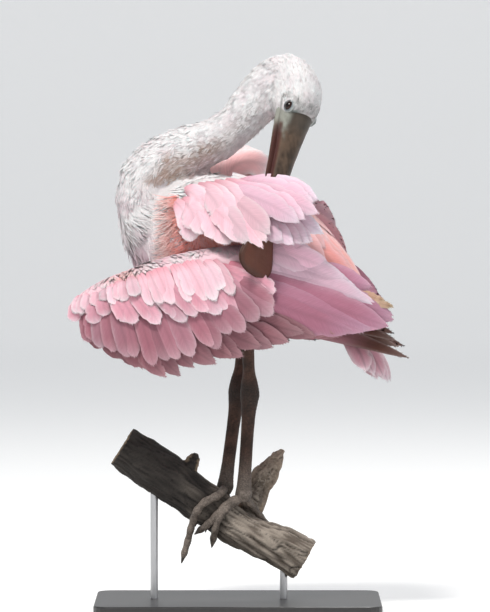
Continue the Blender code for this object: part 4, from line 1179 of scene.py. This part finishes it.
def make_wing(name, core, tracts, material, skin_finish, side):
    """One wing: its arm, the rows of large feathers, and soft small feathers over the arm."""
    surface = Surface(solid_mesh([limb(core, 24, 18)[:2]], 3.0), 1.2)
    tint = np.full((len(surface.points), 3), BLUSH)
    dressed_surface(f"{name}_arm", surface, tint, skin_finish)
    feathers(f"{name}_feathers", tracts, surface, "pink_plumage", material, (name,))

    def upper(points, normals):
        return (normals[:, 1] * side > -0.45) | (normals[:, 2] > 0.2)

    scattered = surface.scatter(2.2, 101, upper)
    places, normals, _ = scattered
    way = np.array((0.5, side * 0.3, -1.0)) + clouds(places, 18, 104) * 0.3
    pale = np.clip(0.5 + 0.5 * noise(places, 13, 102), 0, 1)
    streak = np.exp(-(((places[:, 0] + 108) / 26) ** 2) - ((places[:, 2] - 353) / 6) ** 2) * (side == LEFT)
    root = blend(blend(ROSE, BLUSH, 0.4 + 0.4 * pale), SALMON, streak)
    tip = blend(blend(BLUSH, WHITE, 0.3 + 0.7 * pale), (0.86, 0.46, 0.42), streak * 0.85)
    size = 0.5 + 0.5 * smooth(-170, -110, places[:, 0])
    coat(
        f"{name}_lesser", scattered, way, (root, tip), "pink_plumage", material, fade=1.2, length=9.5 * size,
        width=4.8 * size, rings=3, lift=0.03, curl=-0.32, jitter=0.1, thick=0.5, seed=103,
    )


# Bill, eyes and lids


def make_bill(material):
    """The two mandibles, each with its ridge, its grooves, its cutting edge and the rimmed spoon."""
    length = BILL_LENGTH
    steps, around = 110, 33
    share, half, upper, lower, opening = sample(BILL, np.linspace(0, 1, steps)).T
    for name, sign in (("bill_upper", 1), ("bill_lower", -1)):
        thick = upper if sign > 0 else lower
        middle = BILL_ROOT + BILL_WAY * (np.minimum(share, 1.0) * length)[:, None] - CROWN_WAY * MOUTH_SHIFT
        middle = middle + CROWN_WAY * (sign * opening / 2)[:, None]
        angle = np.linspace(0, math.pi, around)
        side = np.cos(angle)[None] * half[:, None]
        rise = np.sin(angle)[None] ** 0.8 * thick[:, None]
        spoon = smooth(0.66, 0.82, share)[:, None]
        shaft = 1 - smooth(0.55, 0.75, share)[:, None]
        groove = bell(np.abs(np.cos(angle)), 0.62, 0.09)[None]
        ridge = bell(np.cos(angle), 0, 0.2)[None]
        rim = bell(np.abs(np.cos(angle)), 0.9, 0.08)[None]
        run = np.stack((share * 170, np.zeros(steps), np.zeros(steps)), -1)
        wave, cross = (noise(run, size, seed)[:, None] for size, seed in ((9, 111), (3.0, 112)))
        relief = -0.55 * groove * shaft + 0.25 * ridge * shaft
        relief = relief + spoon * (0.45 * rim - 0.35 * ridge) + 0.1 * wave
        relief = relief + 0.12 * cross * (1 - ridge) * np.sin(angle)[None]
        rise = np.maximum(rise + relief * np.sin(angle)[None] ** 0.5, 0)
        if sign > 0:
            along = (share * length)[:, None] - NOSTRIL[0]
            for out in (-1, 1):
                over = side * out - NOSTRIL[1]
                pit = np.exp(-((along / 4.2) ** 2) - ((over / 1.3) ** 2))
                rise = rise - 1.6 * pit
        points = middle[:, None] + RIGHT_WAY * side[..., None] + CROWN_WAY * (sign * rise)[..., None]
        colours = bill_colours(points, share, angle, sign)
        rings = points.reshape(-1, 3)
        ends = rings[:around].mean(axis=0), rings[-around:].mean(axis=0)
        everything = np.concatenate((rings, ends))
        faces = tube_faces(steps, around)
        if sign < 0:
            faces = [face[::-1] for face in faces]
        tint = np.concatenate((colours.reshape(-1, 3), colours[0, :1], colours[-1, :1]))
        vane = np.stack(np.broadcast_arrays(side, (share * length)[:, None]), -1).reshape(-1, 2)
        vane = np.concatenate((vane, [(0, 0), (0, length)]))
        piece(f"{name}_horn", everything, faces, material, "bill_horn", (name,), tint=tint, vane=vane)


def bill_colours(points, share, angle, sign):
    """Grey-brown horn, darker at its root, tan by the mouth, and a reddish spoon with a dark rim."""
    flat = points.reshape(-1, 3)
    cloud = noise(flat, 16, 113).reshape(points.shape[:2])
    mottle = noise(flat, 4.5, 114).reshape(points.shape[:2])
    dapple = np.clip(0.5 + 0.4 * cloud + 0.25 * mottle, 0, 1)
    horn = blend((0.042, 0.027, 0.018), (0.100, 0.064, 0.042), dapple)
    low = (1 - np.sin(angle))[None] * np.ones((len(share), 1))
    edge = smooth(0.55, 0.95, low) * (1 - smooth(0.6, 0.75, share))[:, None]
    horn = blend(horn, (0.16, 0.085, 0.055), edge * 0.8)
    root = (1 - smooth(0.0, 0.16, share))[:, None] * (0.4 + 0.6 * np.sin(angle)[None])
    horn = blend(horn, (0.055, 0.047, 0.038) if sign > 0 else (0.36, 0.33, 0.29), root * 0.8)
    spoon = smooth(0.66, 0.8, share)[:, None] * np.ones((1, len(angle)))
    horn = blend(horn, (0.110, 0.034, 0.020), spoon * 0.9)
    rim = smooth(0.8, 0.97, np.abs(np.cos(angle)))[None] * spoon + smooth(0.955, 1.0, share)[:, None]
    horn = blend(horn, (0.06, 0.028, 0.02), np.clip(rim, 0, 1) * 0.75)
    skin = 1 - smooth(0.0, 0.15, share[:, None] + 0.03 * mottle)
    skin = skin * (1 - smooth(0.35, 0.7, np.sin(angle)))[None]
    horn = blend(horn, (0.30, 0.31, 0.27), skin * 0.85)
    inner = smooth(0.965, 0.99, np.abs(np.cos(angle)))[None] * (1 - spoon)
    return blend(horn, (0.055, 0.014, 0.013), inner * smooth(0.01, 0.08, share)[:, None] * 0.85)


def make_mouth(material):
    """The dark lining between the mandibles, as far as the corner of the mouth."""
    stations = []
    for share, half, _, _, _ in BILL[:9]:
        centre = BILL_ROOT + BILL_WAY * share * BILL_LENGTH - CROWN_WAY * MOUTH_SHIFT
        stations.append((*centre, half * 0.82, 0.8))
    points, faces, vane = limb(stations, 40, 16, side=RIGHT_WAY)
    tint = np.tile((0.10, 0.02, 0.02), (len(points), 1))
    piece("mouth_lining", points, faces, material, "bill_horn", tint=tint, vane=vane)


def eye_shell(centre, out, flat, radius, tilt):
    """Points of a turned form about the eye's axis, from its radius and the angle off the axis."""
    forward = (radius * np.cos(tilt))[..., None] * out
    return (centre + forward + (radius * np.sin(tilt))[..., None] * flat).reshape(-1, 3)


def make_eyes(eye_finish, lid_finish):
    """Dark-brown eyes with a clear, wet front, each in a ring of bare lids."""
    columns = 48
    turn = (np.arange(columns) * math.tau / columns)[None]
    for side, name in ((LEFT, "eye_left"), (RIGHT, "eye_right")):
        centre = head_point(*EYE_PLACE, side * EYE_APART - 1.2 * (side == RIGHT))
        out = RIGHT_WAY * side
        up = -BILL_WAY
        flat = np.cos(turn)[..., None] * np.cross(up, out) + np.sin(turn)[..., None] * up
        rows = 40
        angle = np.linspace(0, math.pi, rows)[:, None]
        radius = EYE_RADIUS + 0.35 * bell(angle, 0, 0.42)
        points = eye_shell(centre, out, flat, radius, angle)
        spoke = 0.5 + 0.5 * np.sin(turn * 23 + 2 * np.sin(turn * 5))
        iris = blend((0.012, 0.005, 0.004), (0.04, 0.016, 0.010), spoke * smooth(0.3, 0.75, angle))
        colour = blend(iris, (0.004, 0.003, 0.003), smooth(0.42, 0.38, angle) * np.ones_like(turn))
        colour = blend(colour, (0.03, 0.02, 0.02), smooth(0.95, 1.1, angle) * np.ones_like(turn))
        piece(
            f"{name}_ball", points, grid_faces(rows, columns, True)[:, ::-1], eye_finish, "eye", (name,),
            tint=colour.reshape(-1, 3), vane=np.zeros((rows * columns, 2)),
        )
        rows = 26
        profile = np.linspace(0, 1, rows)[:, None]
        tilt = 0.82 + (0.85 if side == LEFT else 0.4) * profile + 0.05 * np.sin(turn) ** 2
        folds = ((0.5, 0.2, 0.13), (0.35, 0.55, 0.12))  # height, place and width
        fold = sum(high * bell(profile, at, wide) for high, at, wide in folds)
        wrinkle = 0.06 * np.sin(turn * 31) * np.sin(math.pi * profile)
        radius = EYE_RADIUS + 0.45 + fold + wrinkle + 0.9 * profile**2
        points = eye_shell(centre, out, flat * 1.02, radius, tilt)
        colour = blend(LID, FACE, smooth(0.25, 0.8, profile + 0.15 * np.sin(turn * 7)) * np.ones_like(turn))
        colour = blend(colour, (0.06, 0.07, 0.08), smooth(0.12, 0.02, profile) * np.ones_like(turn))
        vane = np.stack(np.broadcast_arrays(turn * 6, profile * 6), -1).reshape(-1, 2)
        piece(
            f"{name}_lids", points, grid_faces(rows, columns, True)[:, ::-1], lid_finish, "white_plumage",
            tint=colour.reshape(-1, 3), vane=vane,
        )


# Legs and feet


def perch_at(x):
    xs = [p[0] for p in PERCH]
    return np.interp(x, xs, [p[1] for p in PERCH]), np.interp(x, xs, [p[2] for p in PERCH])


def over_perch(x, z, radius):
    """How far in front of the perch's axis a toe of this radius lies where it is seen at x, z."""
    height, thickness = perch_at(x)
    slope = math.atan2(perch_at(x + 5)[0] - perch_at(x - 5)[0], 10)
    off_axis = (z - height) * math.cos(slope)
    reach = thickness * 1.04 + radius + 0.35
    return math.sqrt(max(reach**2 - off_axis**2, (0.45 * reach) ** 2))


def scutes(pitch, depth):
    """Plates across a toe or a shin, as a factor on its radius."""

    def swell(run, angle):
        plate = np.abs(np.sin(run * math.pi / pitch)) ** 0.35
        breast_shade = 0.35 + 0.65 * smooth(-0.6, 0.6, np.sin(angle))
        return 1 - depth * (1 - plate) * breast_shade

    return swell


def limb_tint(points, tones, seed):
    share = np.clip(0.5 + 0.4 * noise(points, 14, seed) + 0.2 * noise(points, 3, seed + 1), 0, 1)
    return blend(*tones, share)


def limb_piece(name, stations, steps, sides, tones, seed, finish, replaces=(), **shape):
    """A tube of the foot, mottled between two tones."""
    points, faces, vane = limb(stations, steps, sides, **shape)
    piece(name, points, faces, finish, "foot_skin", replaces, tint=limb_tint(points, tones, seed), vane=vane)


def make_toe(name, heel, side, places, radius, skin_finish, claw_finish):
    """One toe over the branch, with pads at its joints, and its claw as a separate piece."""
    stations = [(*heel, radius, radius)]
    for i, (x, z) in enumerate(places):
        y = PERCH_Y + side * over_perch(x, z, radius)
        size = radius * (1.0 - 0.25 * (i + 1) / len(places))
        stations.append((x, y, z, size, size))
    tip = np.array(stations[-1][:3])
    run = unit(tip - np.array(stations[-2][:3]))
    stations.append((*(tip + run * 6), radius * 0.5, radius * 0.5))
    plates = scutes(2.6, 0.16)

    def swell(along, angle):
        joint = 1 + 0.09 * np.cos(along * math.tau / 13.0)
        return plates(along, angle) * joint

    across = (0.2, 0.3, 1)
    steps = 20 * len(stations)
    limb_piece(name, stations, steps, 20, FOOT_TONES, 121, skin_finish, side=across, swell=swell)
    claw = []
    sizes = (3.0, radius * 0.3), (6.0, radius * 0.42), (9.0, radius * 0.3), (12, 0.6)
    for i, (along, size) in enumerate(sizes):
        x, y, z = tip + run * along
        claw.append((x, y - side * 0.1 * i * i, z, size, size))
    limb_piece(name.replace("toe", "claw"), claw, 18, 12, CLAW_TONES, 123, claw_finish, side=across)


def make_leg(side_name, skin_finish, claw_finish):
    """Bare shank, knobbed hock, long shin and the foot with its toes."""
    spec = LEGS[side_name]
    shank, hock, ankle = (np.array(spec[k], float) for k in ("shank", "hock", "ankle"))
    down = unit(hock - shank)
    lower = unit(ankle - hock)
    middle = (shank + hock) / 2
    stations = (
        (*(shank - down * 4), 5.4, 6.0), (*(shank + down * 4), 5.8, 6.5), (*middle, 5.6, 6.4),
        (*(hock - down * 12), 7.0, 8.8), (*hock, 8.0, 10.2), (*(hock + lower * 8), 7.2, 9.2),
        (*(hock * 0.74 + ankle * 0.26), 5.6, 7.2), (*(hock * 0.3 + ankle * 0.7), 5.4, 6.8),
        (*(ankle - lower * 8), 6.0, 7.6), (*ankle, 6.6, 8.4), (*(ankle + lower * 8), 6.6, 7.8),
    )
    points, faces, vane = limb(stations, 150, 30, swell=scutes(3.4, 0.045))
    z = points[:, 2]
    joint = bell(z, hock[2], 15)
    tint = blend(limb_tint(points, LEG_TONES, 131), (0.022, 0.015, 0.012), joint * 0.75)
    tint = blend(tint, (0.13, 0.105, 0.088), smooth(170, 128, z) * 0.85)
    names = (f"shank_{side_name}", f"tarsus_{side_name}")
    piece(f"leg_{side_name}", points, faces, skin_finish, "leg_skin", names, tint=tint, vane=vane)
    heel = ankle + lower * 5
    sizes = (-4, 5.8, 7.6), (4, 7.4, 8.8), (11, 5.5, 6.5)
    knob = [(*(ankle + lower * along), wide, high) for along, wide, high in sizes]
    foot = f"foot_{side_name}"
    limb_piece(f"{foot}_heel", knob, 24, 24, FOOT_TONES, 121, skin_finish, (foot,))
    toes = [(side, places, 4.6) for side, places in spec["toes"]] + [(*spec["hallux"], 4.0)]
    for i, (side, places, radius) in enumerate(toes):
        make_toe(f"toe_{side_name}_{i}", heel, side, places, radius, skin_finish, claw_finish)


# Perch and stand


def make_perch(material):
    """A weathered length of dead branch: bark in long cracked ridges, a broken stub and a knot."""
    branch = [(x, PERCH_Y, z, r, r) for x, z, r in PERCH]
    parts = [limb(stations, 40, 24)[:2] for stations in (branch, PERCH_STUB, PERCH_KNOT)]
    surface = Surface(solid_mesh(parts, PERCH_VOXEL), 0.0)
    points, normals = surface.points, surface.normals
    axis_way = unit(np.array((PERCH[-1][0] - PERCH[0][0], 0.0, PERCH[-1][1] - PERCH[0][1])))
    stub = smooth(8, 22, points[:, 1])[:, None]
    stub_way = unit(np.array(PERCH_STUB[-1][:3], float) - np.array(PERCH_STUB[0][:3], float))
    way = unit(axis_way * (1 - stub) + stub_way * stub)
    lengthwise = (points * way).sum(axis=1)[:, None] * way
    grain = (points - lengthwise) + lengthwise * 0.16
    fibres = noise(grain, 3.4, 141)
    ridges = 1 - np.abs(noise(grain, 8.5, 142))
    lumps = noise(points, 26, 143)
    cracks = smooth(0.12, 0.0, np.abs(noise(grain, 13, 144)))
    end = 1 - smooth(0.6, 0.85, np.abs((normals * way).sum(axis=1)))
    height = (0.65 * fibres + 1.1 * ridges + 0.9 * lumps - 2.0 * cracks - 0.6) * (0.35 + 0.65 * end)
    surface.points = points + normals * height[:, None]
    x = points[:, 0]
    charcoal = blend((0.008, 0.006, 0.005), (0.036, 0.029, 0.025), np.clip(0.5 + 0.5 * ridges * fibres, 0, 1))
    tan = blend((0.12, 0.095, 0.075), (0.34, 0.29, 0.24), np.clip(0.5 + 0.45 * fibres + 0.25 * lumps, 0, 1))
    tint = blend(charcoal, tan, np.clip(smooth(-60, 30, x + 14 * lumps) + 0.03, 0, 1))
    tint = blend(tint, (0.30, 0.22, 0.16), smooth(10, 20, points[:, 1]) * 0.5)
    # The cracks on the bark's sides are painted near black: painted shade in the hollows
    tint = blend(tint, (0.02, 0.016, 0.014), cracks * 0.8 * end)
    tint = blend(tint, (0.36, 0.26, 0.17), (1 - end) * 0.6)
    dressed_surface("perch_branch", surface, tint, material, ("perch",))


def dress_stand(base_finish, rod_finish):
    finishes = {"stand_base": base_finish, "stand_rod_front": rod_finish, "stand_rod_rear": rod_finish}
    for name, finish in finishes.items():
        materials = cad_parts[name].data.materials
        materials.clear()
        materials.append(finish)


# Floor, lights and camera


def make_floor():
    """A pale bowl: a flat floor that curves up far from the model on every side."""
    turn = np.linspace(0.2, math.pi / 2, 8)
    profile = [(1.5, 0.0), (4.0, 0.0), (FLOOR_FLAT, 0.0)]
    profile += [(FLOOR_FLAT + FLOOR_BEND * math.sin(a), FLOOR_BEND - FLOOR_BEND * math.cos(a)) for a in turn]
    profile.append((FLOOR_FLAT + FLOOR_BEND, FLOOR_HEIGHT))
    sides = 96
    angles = [math.tau * i / sides for i in range(sides)]
    points = [(wide * math.cos(a), wide * math.sin(a), height) for wide, height in profile for a in angles]
    faces = grid_faces(len(profile), sides, True)[:, [0, 3, 2, 1]].tolist()
    faces.append(tuple(range(sides)))
    mesh = bpy.data.meshes.new("floor")
    mesh.from_pydata(points, [], faces)
    mesh.polygons.foreach_set("use_smooth", np.full(len(mesh.polygons), True))
    finish, _, shader = node_tree("floor", 0.9, specular=0.1)
    shader.inputs["Base Color"].default_value = FLOOR_SHADE
    shader.inputs["Emission Color"].default_value = FLOOR_GLOW
    shader.inputs["Emission Strength"].default_value = FLOOR_STRENGTH
    mesh.materials.append(finish)
    made = placed("floor", mesh)


def aim(made, place, target):
    made.location = place
    made.rotation_euler = (target - Vector(place)).to_track_quat("-Z", "Y").to_euler()


def make_light(name, place, size, power, colour):
    data = bpy.data.lights.new(name, "AREA")
    data.shape = "DISK"
    data.size = size
    data.energy = power
    data.color = colour
    aim(placed(name, data), place, LIGHT_TARGET)


def make_stage():
    make_floor()
    for light in LIGHTS:
        make_light(*light)
    world = bpy.data.worlds.new("studio")
    bpy.context.scene.world = world
    world.use_nodes = True
    world.node_tree.nodes["Background"].inputs["Color"].default_value = SKY
    world.node_tree.nodes["Background"].inputs["Strength"].default_value = SKY_STRENGTH
    data = bpy.data.cameras.new("camera")
    data.sensor_width = SENSOR
    data.lens = SENSOR / 2 / (FRAME_HEIGHT / 2 / CAMERA_DISTANCE)
    data.clip_end = CLIP_END
    camera = placed("camera", data)
    look_at = Vector(CAMERA_TARGET) * MM
    away = Vector((0, -math.cos(CAMERA_ELEVATION), math.sin(CAMERA_ELEVATION)))
    aim(camera, look_at + away * (CAMERA_DISTANCE * MM), look_at)
    bpy.context.scene.camera = camera
    bpy.context.scene.view_settings.view_transform = "Standard"


def main():
    make_stage()
    down = feather_material("down", 0.6, 0.84, 1.1, 0.1, 0.5, 0.15)
    vane = feather_material("vane", 0.9, 0.74, 1.18, 0.4, 0.25, 0.12)
    bare = skin_material("bare_skin", 900, 0.75, 1.15, 0.55, 0.0003, subsurface=0.1)
    horn = skin_material("horn", 700, 0.75, 1.2, 0.45, 0.0002, specular=0.25)
    scaled = skin_material("scaled_skin", 900, 0.5, 1.2, 0.55, 0.0005, scaly=True, specular=0.3)
    bark = skin_material("bark", 420, 0.6, 1.3, 0.9, 0.0012)
    claw = skin_material("claw", 600, 0.8, 1.2, 0.3, 0.0001, coat=0.2)
    wet = skin_material("wet_eye", 300, 0.95, 1.05, 0.05, 0.00001, specular=0.3)
    painted = plain_material("painted_base", (0.028, 0.026, 0.026), 0.4, 240, 0.0001, coat=0.1)
    steel = (0.5, 0.5, 0.51)
    brushed = plain_material("brushed_steel", steel, 0.32, 160, 0.00004, (1, 1, 0.05), metallic=1.0)
    surface = make_skin(bare)
    make_body_coat(surface, down)
    make_flank(surface, down)
    make_wing("wing_left", WING_CORE_LEFT, left_wing_tracts(), vane, bare, LEFT)
    make_wing("wing_right", WING_CORE_RIGHT, right_wing_tracts(), vane, bare, RIGHT)
    for side_name, tracts in (("left", scapular_tracts_left()), ("right", scapular_tracts_right())):
        node = f"scapulars_{side_name}"
        feathers(f"{node}_feathers", tracts, surface, "pale_pink", vane, (node,))
    feathers("back_plumes", back_tracts(), surface, "salmon_plumage", vane, ("back_feathers",))
    feathers("tail_feathers", tail_tracts(), surface, "pink_plumage", vane, ("tail",))
    make_bill(horn)
    make_mouth(bare)
    make_eyes(wet, bare)
    for side_name in ("left", "right"):
        make_leg(side_name, scaled, claw)
    make_perch(bark)
    dress_stand(painted, brushed)


main()
